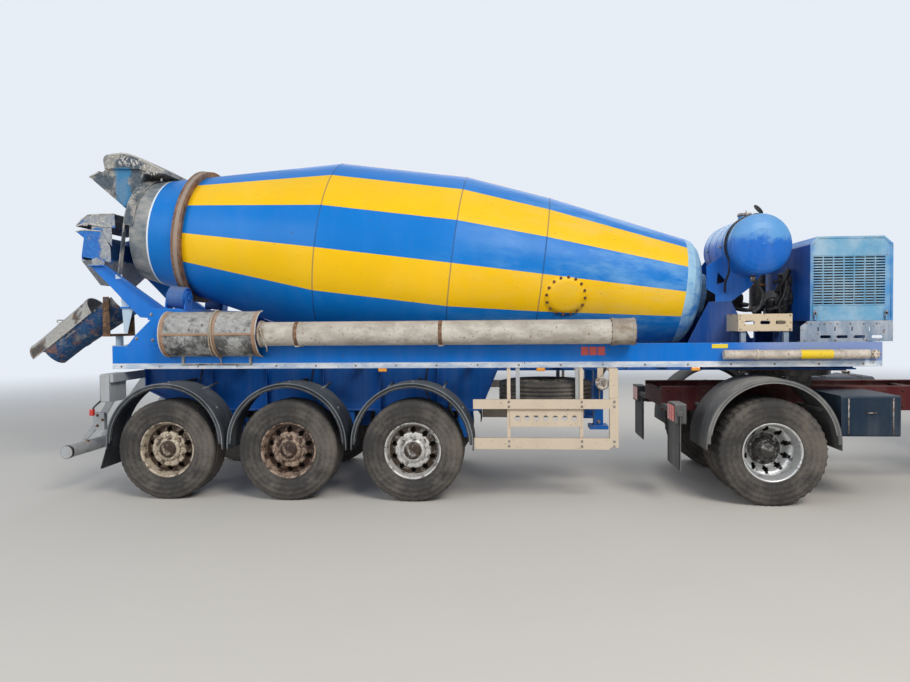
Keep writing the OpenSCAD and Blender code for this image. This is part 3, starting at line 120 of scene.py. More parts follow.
def two_colours(factor, a, b):
    """Colour a where the factor is 0, and b where it is 1."""
    tree = tree_of(factor)
    made = add_node(tree, "Mix", data_type="RGBA")
    for number, value in ((0, factor), (6, a), (7, b)):
        if isinstance(value, bpy.types.NodeSocket):
            tree.links.new(value, made.inputs[number])
        else:
            made.inputs[number].default_value = value if number == 0 else (*value, 1)
    return made.outputs[2]


def cloud(where, size, detail=5.0, rough=0.6, stretch=None):
    """Noise from 0 to 1 with blotches about size metres across, stretched along an axis if asked."""
    tree = tree_of(where)
    if stretch:
        where = add_node(tree, "Mapping", {"Vector": where, "Scale": stretch}).outputs[0]
    return add_node(tree, "TexNoise",
                    {"Vector": where, "Scale": 1 / size, "Detail": detail, "Roughness": rough}).outputs[0]


def steps(value, low, high):
    """0 below low, 1 above high, and a smooth ramp between."""
    ends = {"Value": value, "From Min": low, "From Max": high}
    return add_node(tree_of(value), "MapRange", ends, interpolation_type="SMOOTHSTEP").outputs[0]


def place(tree):
    return add_node(tree, "TexCoord").outputs["Object"]


def split(vector):
    return add_node(tree_of(vector), "SeparateXYZ", {0: vector}).outputs


def new_material(name, roughness=0.5, metallic=0.0, coat=0.0, **principled):
    made = bpy.data.materials.new(name)
    made.use_nodes = True
    shader = made.node_tree.nodes["Principled BSDF"]
    shader.inputs["Roughness"].default_value = roughness
    shader.inputs["Metallic"].default_value = metallic
    shader.inputs["Coat Weight"].default_value = coat
    for label, value in principled.items():
        shader.inputs[label.replace("_", " ")].default_value = value
    return made, made.node_tree, shader


def show(shader, colour):
    shader.id_data.links.new(colour, shader.inputs["Base Color"])


def seen_plainly(tree):
    """1 where the camera, a reflection or glass looks at the backdrop, 0 for the light it gives."""
    paths = add_node(tree, "LightPath").outputs
    return larger(paths["Is Camera Ray"], larger(paths["Is Glossy Ray"], paths["Is Transmission Ray"]))


backdrop = (0.80, 0.85, 0.92)
floor_pale = (0.66, 0.62, 0.56)
floor_mat, tree, shader = new_material("floor_pale", roughness=0.8)
blotch = cloud(place(tree), 2.5)
show(shader, two_colours(blotch, tuple(0.93 * c for c in floor_pale), floor_pale))
radius = add_node(tree, "VectorMath", {0: place(tree)}, operation="LENGTH").outputs["Value"]
far_away = times(steps(radius, 9.0, 26.0), seen_plainly(tree))
haze = add_node(tree, "Emission", {"Color": (*backdrop, 1), "Strength": 1.0})
joined = add_node(tree, "MixShader", {0: far_away, 1: shader.outputs[0], 2: haze.outputs[0]})
tree.links.new(joined.outputs[0], tree.nodes["Material Output"].inputs["Surface"])
floor_half = 60
mesh = bpy.data.meshes.new("floor")
corners = ((-1, -1), (1, -1), (1, 1), (-1, 1))
mesh.from_pydata([(x * floor_half, y * floor_half, 0) for x, y in corners], [], [(0, 1, 2, 3)])
floor = bpy.data.objects.new("floor", mesh)
floor.data.materials.append(floor_mat)
scene.collection.objects.link(floor)

world = bpy.data.worlds.new("studio")
scene.world = world
world.use_nodes = True
tree = world.node_tree
back = tree.nodes["Background"]
seen = seen_plainly(tree)
tree.links.new(two_colours(seen, (0.70, 0.80, 0.95), backdrop), back.inputs["Color"])
world_light = 0.42
tree.links.new(add_node(tree, "MapRange", {"Value": seen, "To Min": world_light, "To Max": 1.0}).outputs[0],
               back.inputs["Strength"])


def soft_light(name, where, size, power, aim=(0, 0, 1.6), colour=(1, 1, 1)):
    lamp = bpy.data.lights.new(name, "AREA")
    lamp.shape = "RECTANGLE"
    lamp.size, lamp.size_y = size
    lamp.energy = power
    lamp.color = colour
    made = bpy.data.objects.new(name, lamp)
    made.location = where
    made.rotation_euler = (Vector(aim) - Vector(where)).to_track_quat("-Z", "Y").to_euler()
    scene.collection.objects.link(made)


soft_light("key", (5.5, -12.0, 12.0), (7.0, 6.0), 1750, colour=(1.0, 0.97, 0.92))
soft_light("fill", (-10.0, -10.0, 6.0), (8.0, 6.0), 520, colour=(0.92, 0.96, 1.0))
soft_light("back", (0.0, 10.0, 8.0), (14.0, 6.0), 420)


# Chassis: welded I-beams and cross-members in deep blue gloss. The weathering of all painted steel
# starts here: blotched paint, dust on top faces and in runs, worn edges, and chips down to the primer.
def plus(a, b, clamp=False):
    return maths("ADD", a, b, clamp)


def minus(a, b):
    return maths("SUBTRACT", a, b)


def inverse(mask):
    return minus(1.0, mask)


def shader_group(name, inputs, outputs):
    tree = bpy.data.node_groups.new(name, "ShaderNodeTree")
    kinds = {"c": "NodeSocketColor", "f": "NodeSocketFloat", "v": "NodeSocketVector"}
    for label, kind in inputs.items():
        tree.interface.new_socket(label, in_out="INPUT", socket_type=kinds[kind])
    for label, kind in outputs.items():
        tree.interface.new_socket(label, in_out="OUTPUT", socket_type=kinds[kind])
    given = tree.nodes.new("NodeGroupInput").outputs
    result = tree.nodes.new("NodeGroupOutput").inputs
    return tree, given, result


def bump(shader, height, distance):
    made = add_node(shader.id_data, "Bump", {"Height": height, "Distance": distance, "Strength": 1.0})
    shader.id_data.links.new(made.outputs[0], shader.inputs["Normal"])


weathering, given, result = shader_group(
    "weathering",
    {"Paint": "c", "Dust": "c", "Dust Amount": "f", "Chip": "c", "Chips": "f", "Gloss": "f"},
    {"Color": "c", "Roughness": "f", "Height": "f", "Normal": "v"},
)
tree = weathering
where = place(tree)
wide = cloud(where, 0.9, 6)
runs = cloud(where, 0.14, 5, stretch=(1, 1, 0.07))
fine = cloud(where, 0.02, 3)
normal = add_node(tree, "NewGeometry").outputs["Normal"]
on_top = steps(split(normal)["Z"], 0.3, 0.95)
loose = times(plus(times(wide, 0.9), runs), 0.55)
loose = steps(loose, 0.40, 0.78)
loose = plus(loose, times(on_top, 0.8))
dusty = times(loose, given["Dust Amount"], clamp=True)
shade = add_node(tree, "MapRange", {"Value": wide, "To Min": 0.84, "To Max": 1.14}).outputs[0]
tinted = add_node(tree, "VectorMath", {0: given["Paint"], "Scale": shade}, operation="SCALE").outputs[0]
colour = two_colours(dusty, tinted, given["Dust"])
round_normal = add_node(tree, "Bevel", {"Radius": 0.006}, samples=4).outputs[0]
bend = add_node(tree, "VectorMath", {0: normal, 1: round_normal}, operation="DOT_PRODUCT").outputs["Value"]
worn = times(steps(inverse(bend), 0.03, 0.20), steps(cloud(where, 0.06, 6, 0.7), 0.42, 0.60))
colour = two_colours(times(worn, 0.6), colour, given["Dust"])
spots = minus(cloud(where, 0.035, 7, 0.66), times(given["Chips"], 0.22))
chipped = inverse(steps(spots, 0.29, 0.32))
colour = two_colours(chipped, colour, given["Chip"])
tree.links.new(colour, result["Color"])
rough = plus(given["Gloss"], times(dusty, 0.45))
tree.links.new(plus(rough, times(fine, 0.06), clamp=True), result["Roughness"])
height = minus(times(fine, 0.3), chipped)
tree.links.new(height, result["Height"])
tree.links.new(round_normal, result["Normal"])

road_dust = (0.42, 0.39, 0.34)
bare_primer = (0.10, 0.07, 0.05)


def painted(name, paint, dust=road_dust, dust_amount=0.35, chip=bare_primer, chips=0.2, gloss=0.42,
            coat=0.05, shine=0.15):
    """A weathered paint; paint is a colour or a function that makes one in the material's tree."""
    made, tree, shader = new_material(name, coat=coat, Coat_Roughness=0.25, Specular_IOR_Level=shine)
    aged = add_node(tree, "Group", node_tree=weathering)
    aged.inputs["Dust"].default_value = (*dust, 1)
    aged.inputs["Chip"].default_value = (*chip, 1)
    aged.inputs["Dust Amount"].default_value = dust_amount
    aged.inputs["Chips"].default_value = chips
    aged.inputs["Gloss"].default_value = gloss
    if callable(paint):
        tree.links.new(paint(tree), aged.inputs["Paint"])
    else:
        aged.inputs["Paint"].default_value = (*paint, 1)
    show(shader, aged.outputs["Color"])
    tree.links.new(aged.outputs["Roughness"], shader.inputs["Roughness"])
    relief = {"Height": aged.outputs["Height"], "Normal": aged.outputs["Normal"], "Distance": 0.0012,
              "Strength": 0.5}
    tree.links.new(add_node(tree, "Bump", relief).outputs[0], shader.inputs["Normal"])
    return made


def dress(material, *names):
    for name in names:
        for holder in nodes[name].material_slots:
            holder.material = material


chassis_blue = painted("chassis_blue", (0.0, 0.120, 0.47), dust_amount=0.18, chips=0.15)
dress(chassis_blue, "chassis", "cross_members", "suspension", "landing_legs")


# Bolts, pipes and small fittings are meshes of their own. Along each beam's outer web run the brake
# pipes and the lamp cable, clipped under the top flange.
def mesh_from(name, build):
    made = bmesh.new()
    build(made)
    bmesh.ops.recalc_face_normals(made, faces=made.faces)
    mesh = bpy.data.meshes.new(name)
    made.to_mesh(mesh)
    made.free()
    return mesh


def piece(name, body, material, build):
    """A new piece drawn in place in the row frame."""
    made = bpy.data.objects.new(name, mesh_from(name, build))
    made.data.materials.append(material)
    scene.collection.objects.link(made)
    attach(made, body)
    return made


def drawn_by(name, body, material):
    """Makes a piece with the function that stands below it."""
    return lambda build: piece(name, body, material, build)


def soft_block(made, low, high, round_by=0.004, turn=None):
    """A block with rounded edges between two corners."""
    low, high = Vector(low), Vector(high)
    centre, span = (low + high) / 2, high - low
    matrix = Matrix.Translation(centre) @ (turn or Matrix.Identity(4)) @ Matrix.Diagonal((*span, 1))
    corners = bmesh.ops.create_cube(made, size=1, matrix=matrix)["verts"]
    edges = list(dict.fromkeys(e for v in corners for e in v.link_edges))
    bmesh.ops.bevel(made, geom=edges, offset=round_by, segments=2, profile=0.5, affect="EDGES",
                    clamp_overlap=True)


def around(count):
    """Angles in radians at count equal steps of one turn."""
    return [math.tau * k / count for k in range(count)]


def sweep(start, end, count):
    """Angles in radians at count equal steps from start to end, which are in degrees."""
    return [math.radians(start + (end - start) * k / count) for k in range(count + 1)]


def smooth_path(points, steps_each=6):
    """Points along a smooth curve through the given ones."""
    points = [Vector(p) for p in points]
    ends = [2 * points[0] - points[1], *points, 2 * points[-1] - points[-2]]
    path = []
    for a, b, c, d in zip(ends, ends[1:], ends[2:], ends[3:]):
        for k in range(steps_each):
            t = k / steps_each
            curve = 2 * b + (c - a) * t + (2 * a - 5 * b + 4 * c - d) * t * t
            path.append(0.5 * (curve + (3 * b - a - 3 * c + d) * t ** 3))
    return path + [points[-1]]


def pipe(made, points, radius, sides=10, smooth=True):
    """A round tube with closed ends along a path."""
    path = smooth_path(points) if smooth else [Vector(p) for p in points]
    across = None
    rings = []
    for k, p in enumerate(path):
        along = (path[min(k + 1, len(path) - 1)] - path[max(k - 1, 0)]).normalized()
        if across is None:
            across = along.orthogonal().normalized()
        across = (across - along * across.dot(along)).normalized()
        other = along.cross(across)
        rings.append([made.verts.new(p + radius * (math.cos(a) * across + math.sin(a) * other))
                      for a in around(sides)])
    for one, two in zip(rings, rings[1:]):
        for n in range(sides):
            m = (n + 1) % sides
            made.faces.new((one[n], one[m], two[m], two[n])).smooth = True
    made.faces.new(list(reversed(rings[0])))
    made.faces.new(rings[-1])


tip = 0.0005


def turned(made, matrix, outline, segments=32, smooth=True):
    """Turns an outline of (radius, height) about the matrix's Z axis. An end wider than tip is closed."""
    rings = [[made.verts.new(matrix @ Vector((r * math.cos(a), r * math.sin(a), h))) for r, h in outline]
             for a in around(segments)]
    for k in range(segments):
        one, two = rings[k], rings[(k + 1) % segments]
        for j in range(len(outline) - 1):
            made.faces.new((one[j], two[j], two[j + 1], one[j + 1])).smooth = smooth
    for j in (0, -1):
        if outline[j][0] > tip:
            made.faces.new([ring[j] for ring in rings])


def axis_matrix(where, along):
    along = Vector(along).normalized()
    return Matrix.Translation(where) @ along.to_track_quat("Z", "Y").to_matrix().to_4x4()


def hex_bolt(made, where, along, size=0.012, height=0.010):
    """A washer, a hexagon head and the end of the thread."""
    matrix = axis_matrix(where, along)
    turned(made, matrix, [(size * 1.25, -0.001), (size * 1.25, height * 0.25), (tip, height * 0.25)], 12,
           False)
    turned(made, matrix, [(size, 0), (size, height * 0.9), (size * 0.8, height * 1.1), (tip, height * 1.1)],
           6, False)
    turned(made, matrix, [(size * 0.5, height), (size * 0.45, height * 1.7), (tip, height * 1.7)], 8, False)


black_hose, tree, shader = new_material("black_hose", roughness=0.55)
where = place(tree)
show(shader, two_colours(steps(cloud(where, 0.08), 0.45, 0.7), (0.012, 0.012, 0.013), (0.07, 0.065, 0.06)))
bump(shader, cloud(where, 0.006, 2), 0.0006)

zinc_bolt, tree, shader = new_material("zinc_bolt", roughness=0.45, metallic=0.7)
where = place(tree)
show(shader, two_colours(steps(cloud(where, 0.02, 6), 0.42, 0.62), (0.36, 0.36, 0.35), (0.16, 0.09, 0.05)))
bump(shader, cloud(where, 0.004, 3), 0.0005)

beam_web_y = 455
hands = (("right", -1), ("left", 1))
for hand, sign in hands:
    @drawn_by(f"brake_pipes_{hand}", "trailer", black_hose)
    def brake_pipes(made):
        for k, z in enumerate((1452, 1432, 1408)):
            points = [at_trailer(x, sign * (beam_web_y + 12 + 2 * (i % 2)), z - 4 * ((i + k) % 3))
                      for i, x in enumerate(range(-3080, 4601, 480))]
            pipe(made, points, 0.006 if k else 0.010, 8)


# Side rails: folded steel in a brighter blue, with a pale lower flange that runs the whole length and
# fades to bare lavender at the front. Reflector strips and amber lamps are fixed to the rails.
rail_low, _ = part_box("side_rails")
flange_height = 0.060
sun_blue = (0.0, 0.170, 0.62)


def is_below(a, b):
    return maths("LESS_THAN", a, b)


def station(x):
    """Where a trailer station lies along the row frame's X axis."""
    return at_trailer(x, 0, 0).x


def rail_paint(tree):
    parts = split(place(tree))
    flange = is_below(parts["Z"], rail_low.z + flange_height)
    ragged = plus(parts["X"], times(cloud(place(tree), 0.5, 6), 0.9))
    front = steps(ragged, station(3500), station(4300))
    colour = two_colours(times(front, 0.7), sun_blue, (0.32, 0.36, 0.52))
    lighter_parts = steps(cloud(place(tree), 0.10, 7, 0.7, stretch=(0.3, 1, 1)), 0.38, 0.62)
    pale = two_colours(lighter_parts, (0.42, 0.52, 0.66), (0.78, 0.80, 0.82))
    return two_colours(flange, colour, pale)


dress(painted("rail_blue", rail_paint, dust_amount=0.09, chips=0.1, gloss=0.38, coat=0.12), "side_rails")


def reflecting(name, colour, cell=0.008):
    made, tree, shader = new_material(name, roughness=0.25, coat=0.6)
    prism = add_node(tree, "TexVoronoi", {"Vector": place(tree), "Scale": 1 / cell}).outputs["Distance"]
    show(shader, two_colours(prism, tuple(0.75 * c for c in colour), colour))
    bump(shader, prism, 0.0008)
    return made


yellow_film = reflecting("yellow_film", (0.95, 0.70, 0.02))
red_film = reflecting("red_film", (0.70, 0.05, 0.03))
amber_lens = reflecting("amber_lens", (0.95, 0.36, 0.02), 0.012)
white_film = reflecting("white_film", (0.80, 0.86, 0.90))
rail_face_y = 1000
for hand, sign in hands:
    def strip(made, x0, x1, z0, z1):
        y0, y1 = sorted((sign * rail_face_y, sign * (rail_face_y + 3)))
        soft_block(made, at_trailer(x0, y0, z0), at_trailer(x1, y1, z1), 0.001)

    @drawn_by(f"yellow_strip_{hand}", "trailer", yellow_film)
    def yellow_strip(made):
        strip(made, 3059, 3217, 1562, 1604)

    @drawn_by(f"red_strip_{hand}", "trailer", red_film)
    def red_strip(made):
        for x in (1740, 1825, 1910):
            strip(made, x, x + 74, 1497, 1585)

    @drawn_by(f"side_lamps_{hand}", "trailer", amber_lens)
    def side_lamps(made):
        for x in (-336, 1327, 2900):
            soft_block(made, at_trailer(x - 45, sign * 985 - 14, 1332),
                       at_trailer(x + 45, sign * 985 + 14, 1369), 0.008)

    @drawn_by(f"rail_bolts_{hand}", "trailer", zinc_bolt)
    def rail_bolts(made):
        for x in range(-3200, 4701, 430):
            hex_bolt(made, at_trailer(x, sign * rail_face_y, 1398), (0, sign, 0), 0.009, 0.007)


# Rear pedestal: welded plate in the same blue, its arms carrying the hoppers. The arm's flange has a
# pale worn edge and a white reflector at its bend, and the gusset below it is painted pale blue, a
# painted highlight for the sun on it.
def pedestal_paint(tree):
    arm_inner_y, gusset_top_z = 0.533, 2.20
    parts = split(place(tree))
    inside = is_below(maths("ABSOLUTE", parts["Y"]), arm_inner_y)
    below = times(inside, is_below(parts["Z"], gusset_top_z))
    # The gusset below the arm is painted pale blue: a painted highlight where the sun falls.
    sunlit_gusset = times(below, is_below(parts["X"], station(-3318)))
    return two_colours(sunlit_gusset, sun_blue, (0.50, 0.62, 0.72))


pedestal_blue = painted("pedestal_blue", pedestal_paint, dust_amount=0.09, chips=0.12, gloss=0.38,
                        coat=0.12)
dress(pedestal_blue, "rear_pedestal")
for hand, sign in hands:
    @drawn_by(f"arm_reflector_{hand}", "trailer", white_film)
    def arm_reflector(made):
        y0, y1 = sorted((sign * 560, sign * 564))
        soft_block(made, at_trailer(-3500, y0, 2380), at_trailer(-3420, y1, 2432), 0.001)

    @drawn_by(f"pedestal_bolts_{hand}", "trailer", zinc_bolt)
    def pedestal_bolts(made):
        for x, z in ((-2850, 1680), (-2650, 1680), (-2450, 1680), (-2250, 1680), (-3030, 1700),
                     (-2860, 1960), (-2660, 1960)):
            hex_bolt(made, at_trailer(x, sign * 988, z), (0, sign, 0), 0.014, 0.012)


# Drum: rolled steel cones in blue with six yellow stripes between the track ring and the front head.
# The plates are welded at three rings, the mouth is bare, and dust lies on the front head.
drum_pos = Vector(joints["drum_spin"]["pos_m"])
drum_axis = Vector(joints["drum_spin"]["axis"])
drum_up = Vector((drum_axis.z, 0, -drum_axis.x))
drum_turn = Matrix((drum_up, Vector((0, 1, 0)), drum_axis)).transposed().to_4x4()
drum_place = Matrix.Translation(drum_pos) @ drum_turn
stripes = 7
stripe_edge = math.radians(49.4)
bare_stripe = math.radians(-66.3)
ring_t, paint_end_t, head_t = 2.692, 3.109, -2.925
weld_ts = (-1.371, -0.414, 1.045)
shell_line = [(-2.950, 0.617), (-1.371, 0.914), (-0.414, 1.047), (1.045, 1.050), (3.330, 0.586)]


def is_above(a, b):
    return maths("GREATER_THAN", a, b)


def apart(a, b):
    return maths("ABSOLUTE", minus(a, b))


def place_in_drum(tree):
    turned_in = {"Vector": place(tree), "Location": drum_pos, "Rotation": drum_turn.to_euler()}
    return add_node(tree, "Mapping", turned_in, vector_type="TEXTURE").outputs[0]


def drum_paint(tree):
    local = place_in_drum(tree)
    parts = split(local)
    angle = maths("ARCTAN2", parts["X"], times(parts["Y"], -1.0))
    turns = times(minus(stripe_edge, angle), stripes / math.tau)
    yellow = is_below(maths("FRACT", turns), 0.5)
    off_bare = apart(angle, bare_stripe)
    yellow = times(yellow, is_above(off_bare, math.pi / stripes / 1.6))
    along = parts["Z"]
    body = times(is_below(along, ring_t), is_above(along, head_t))
    drum_blue, drum_yellow = (0.0, 0.185, 0.60), (0.97, 0.56, 0.001)
    colour = two_colours(times(yellow, body), drum_blue, drum_yellow)
    streak = cloud(local, 0.16, 6, 0.65, stretch=(1, 1, 0.25))
    forward = steps(times(along, -1.0), -0.6, 2.9)
    hazy = times(times(steps(streak, 0.40, 0.72), forward), 0.42)
    hazy = times(hazy, inverse(times(yellow, 0.75)))
    colour = two_colours(hazy, colour, (0.30, 0.56, 0.76))
    for t in weld_ts:
        off = apart(along, t)
        line = inverse(steps(off, 0.004, 0.011))
        colour = two_colours(times(line, 0.55), colour, (0.02, 0.05, 0.14))
    faded = cloud(local, 0.22, 7, 0.7, stretch=(1, 1, 0.4))
    head = times(is_below(along, head_t), steps(faded, 0.30, 0.6))
    colour = two_colours(head, colour, (0.36, 0.58, 0.74))
    crust = two_colours(steps(faded, 0.38, 0.62), (0.15, 0.18, 0.20), (0.40, 0.38, 0.35))
    colour = two_colours(is_above(along, paint_end_t), colour, crust)
    line = times(is_above(along, paint_end_t - 0.022), is_below(along, paint_end_t))
    return two_colours(line, colour, (0.80, 0.85, 0.88))


drum_mat = painted("drum_paint", drum_paint, dust=(0.40, 0.44, 0.46), dust_amount=0.05, chips=0.03,
                   gloss=0.40, coat=0.12)
dress(drum_mat, "drum")


# Inspection hatch: a curved cover on the front cone, held by a ring of sixteen rusty bolts. It takes
# its paint from the drum, so the stripes run across it.
def shell_radius(t):
    for (t0, r0), (t1, r1) in zip(shell_line, shell_line[1:]):
        if t0 <= t <= t1:
            return r0 + (r1 - r0) * (t - t0) / (t1 - t0)
    return shell_line[-1][1]


def on_shell(t, angle, lift):
    """A point lift above the shell; the angle is measured from the right-hand side upwards."""
    r = shell_radius(t) + lift
    return drum_place @ Vector((r * math.sin(angle), -r * math.cos(angle), t))


hatch_t, hatch_angle, hatch_r = -1.645, math.radians(-15.6), 0.205
hatch_bolts = 16


def hatch_point(radius, turn, lift):
    t = hatch_t + radius * math.cos(turn)
    return on_shell(t, hatch_angle + radius * math.sin(turn) / shell_radius(t), lift)


def skin_rings(made, rings):
    for one, two in zip(rings, rings[1:]):
        for k in range(len(one)):
            n = (k + 1) % len(one)
            made.faces.new((one[k], two[k], two[n], one[n])).smooth = True


@drawn_by("drum_hatch", "drum", drum_mat)
def drum_hatch(made):
    rows = [(0.0, 0.012), (0.07, 0.012), (0.14, 0.011), (0.183, 0.011), (0.188, 0.007), (0.222, 0.007),
            (0.228, -0.002)]
    count = 48
    rings = [[made.verts.new(hatch_point(r, a, lift)) for a in around(count)] for r, lift in rows[1:]]
    centre = made.verts.new(hatch_point(0, 0, rows[0][1]))
    for k in range(count):
        made.faces.new((centre, rings[0][k], rings[0][(k + 1) % count]))
    skin_rings(made, rings)


def rusted(name, dark=(0.055, 0.035, 0.025), light=(0.30, 0.16, 0.08), scale=0.05, roughness=0.8,
           metallic=0.3):
    made, tree, shader = new_material(name, roughness=roughness, metallic=metallic)
    where = place(tree)
    blotch = steps(cloud(where, scale, 8, 0.7), 0.34, 0.68)
    grime = steps(cloud(where, scale * 6, 5), 0.45, 0.75)
    colour = two_colours(blotch, dark, light)
    grimy = tuple(0.5 * (a + b) * 0.6 for a, b in zip(dark, light))
    colour = two_colours(times(grime, 0.45), colour, grimy)
    show(shader, colour)
    bump(shader, cloud(where, scale / 5, 4), 0.002)
    return made


bolt_rust = rusted("bolt_rust", (0.07, 0.04, 0.03), (0.34, 0.15, 0.06), 0.015)


@drawn_by("hatch_bolts", "drum", bolt_rust)
def bolt_ring(made):
    for a in around(hatch_bolts):
        outwards = hatch_point(hatch_r, a, 1) - hatch_point(hatch_r, a, 0)
        hex_bolt(made, hatch_point(hatch_r, a, 0.007), outwards, 0.013, 0.012)


@drawn_by("drum_welds", "drum", drum_mat)
def drum_welds(made):
    for t in weld_ts:
        rings = [[made.verts.new(on_shell(t + along, a, lift)) for a in around(144)]
                 for along, lift in ((-0.007, -0.001), (-0.003, 0.0022), (0.003, 0.0022), (0.007, -0.001))]
        skin_rings(made, rings)


# Track ring and rollers: a forged ring of brown rolled steel with a lighter worn path, on two blue
# rollers whose treads are polished. The helical flights inside the drum are rusty plate with cement.
def ring_colour(tree):
    local = place_in_drum(tree)
    off = apart(split(local)["Z"], ring_t)
    worn_path = inverse(steps(off, 0.018, 0.030))
    patches = steps(cloud(local, 0.09, 7, 0.7), 0.35, 0.65)
    scale = two_colours(patches, (0.13, 0.065, 0.04), (0.30, 0.17, 0.10))
    return two_colours(times(worn_path, 0.7), scale, (0.42, 0.34, 0.28))


dress(painted("ring_steel", ring_colour, dust_amount=0.1, chips=0.05, gloss=0.5, coat=0), "track_ring")
tread_r = 0.121
for name in ("roller_right", "roller_left"):
    joint = joints[f"{name}_spin"]

    def roller_paint(tree, centre=Vector(joint["pos_m"])):
        offset = add_node(tree, "VectorMath", {0: place(tree), 1: centre}, operation="SUBTRACT").outputs[0]
        axial = add_node(tree, "VectorMath", {0: offset, 1: drum_axis},
                         operation="DOT_PRODUCT").outputs["Value"]
        square = add_node(tree, "VectorMath", {0: offset, 1: offset},
                          operation="DOT_PRODUCT").outputs["Value"]
        radius = maths("SQRT", minus(square, times(axial, axial)))
        tread = is_above(radius, tread_r)
        return two_colours(times(tread, 0.55), sun_blue, (0.10, 0.12, 0.16))

    dress(painted(f"{name}_paint", roller_paint, dust_amount=0.2, chips=0.2), name)


def crusted(name, steel, crust=(0.46, 0.42, 0.36), cover=0.5, lumps=0.006, under=None, rust=0.0):
    """Dried cement over steel: a pale crust on a dark or painted ground, lumpy where it is thick."""
    made, tree, shader = new_material(name, roughness=0.85)
    where = place(tree)
    spread = cloud(where, 0.30, 7, 0.62)
    lump = cloud(where, 0.03, 6, 0.7)
    covered = steps(spread, 0.64 - cover * 0.3, 0.74 - cover * 0.3)
    ground = two_colours(steps(lump, 0.4, 0.6), steel, under or tuple(0.6 * c for c in steel))
    bleeding = times(steps(cloud(where, 0.12, 6, 0.7), 0.5, 0.66), rust)
    ground = two_colours(bleeding, ground, (0.26, 0.11, 0.045))
    tone = two_colours(steps(lump, 0.3, 0.7), tuple(0.72 * c for c in crust), crust)
    show(shader, two_colours(times(covered, 0.92), ground, tone))
    bump(shader, times(covered, lump), lumps)
    return made


dress(crusted("flight_crust", (0.16, 0.07, 0.035), (0.34, 0.32, 0.29), 0.45, rust=0.7), "drum_flights")


# Front pedestal and drum gearbox: a blue bracket that holds a cast gearbox by a ring of bolts, with the
# hydraulic motor ahead of it and two high-pressure hoses back to the pump at the engine.
# Its blue is painted darker than the rear pedestal's: painted shade for the shadow under the drum.
dress(painted("pedestal_shaded_blue", (0.0, 0.055, 0.26), dust_amount=0.25, chips=0.2), "front_pedestal")
oily_iron = rusted("oily_iron", (0.014, 0.014, 0.016), (0.075, 0.070, 0.065), scale=0.12, roughness=0.5)
dress(oily_iron, "drum_gearbox", "engine_block", "tractor_engine")


def gearbox_point(x_up, y, t):
    return drum_place @ Vector((x_up, y, t))


gear_t = -3.2403
gear_bolts = 18


def trailer_points(*stations):
    return [at_trailer(*s) for s in stations]


@drawn_by("gearbox_fittings", "trailer", oily_iron)
def gearbox_fittings(made):
    for a in around(gear_bolts):
        at = gearbox_point(0.205 * math.cos(a), 0.205 * math.sin(a), gear_t - 0.180)
        hex_bolt(made, at, -drum_axis, 0.013, 0.014)
    for k in range(8):
        a = math.tau * (k + 0.5) / 8
        at = gearbox_point(0.14 * math.cos(a), 0.14 * math.sin(a), gear_t - 0.330)
        hex_bolt(made, at, -drum_axis, 0.012, 0.012)
    axis = axis_matrix(gearbox_point(0, 0, gear_t - 0.332), -drum_axis)
    turned(made, axis, [(0.085, -0.004), (0.085, 0.05), (0.07, 0.06), (0.07, 0.13), (0.045, 0.14),
                        (tip, 0.14)], 24)


@drawn_by("drive_hoses", "trailer", black_hose)
def drive_hoses(made):
    for k in (-1, 1):
        start = gearbox_point(-0.045, 0.035 * k, gear_t - 0.43)
        pipe(made, [start, start + Vector((0.10, 0, -0.02)), at_trailer(3560, 60 + 40 * k, 2010),
                    at_trailer(3760, 40 + 50 * k, 1960), at_trailer(3930, 30 + 60 * k, 2010),
                    at_trailer(4012, 30 + 60 * k, 2060)], 0.022, 12)
    pipe(made, trailer_points((4012, -120, 1930), (3880, -170, 1880), (3640, -200, 1850),
                              (3380, -210, 1830), (3290, -150, 1800), (3250, -60, 1720)), 0.030, 12)


# Engine base and step tray: folded grey-blue sheet on the deck with long dark slots, bleached by the
# sun and bolted along its flanges. A beige pressed tray beside it serves as a step.
tray_beige = (0.66, 0.53, 0.36)
base_face_y, tray_inner_y, deck_z = -0.730, -0.47, 1.728


def base_colour(tree):
    parts = split(place(tree))
    tray = is_below(parts["X"], station(3960))
    streak = steps(cloud(place(tree), 0.2, 6, 0.7, stretch=(1, 1, 0.3)), 0.36, 0.64)
    grey = two_colours(streak, (0.20, 0.28, 0.38), (0.44, 0.48, 0.54))
    beam = is_above(parts["Y"], base_face_y)
    grey = two_colours(beam, grey, (0.01, 0.07, 0.24))
    front = is_below(parts["Y"], tray_inner_y)
    tray = times(tray, front)
    above_deck = is_above(parts["Z"], deck_z)
    return two_colours(times(tray, above_deck), grey, tray_beige)


dress(painted("base_steel", base_colour, dust=(0.50, 0.46, 0.40), dust_amount=0.25, chip=(0.20, 0.11, 0.07),
              chips=0.3, gloss=0.5, coat=0), "engine_base")


@drawn_by("base_bolts", "trailer", zinc_bolt)
def base_bolts(made):
    for x in range(4120, 4900, 130):
        hex_bolt(made, at_trailer(x, -800, 1800), (0, -1, 0), 0.008, 0.006)
    for x in (3385, 3885):
        for z in (1750, 1890):
            hex_bolt(made, at_trailer(x, -860, z), (0, -1, 0), 0.008, 0.006)
    for x in (4050, 4360, 4670):
        hex_bolt(made, at_trailer(x, -800, 1628), (0, -1, 0), 0.008, 0.006)


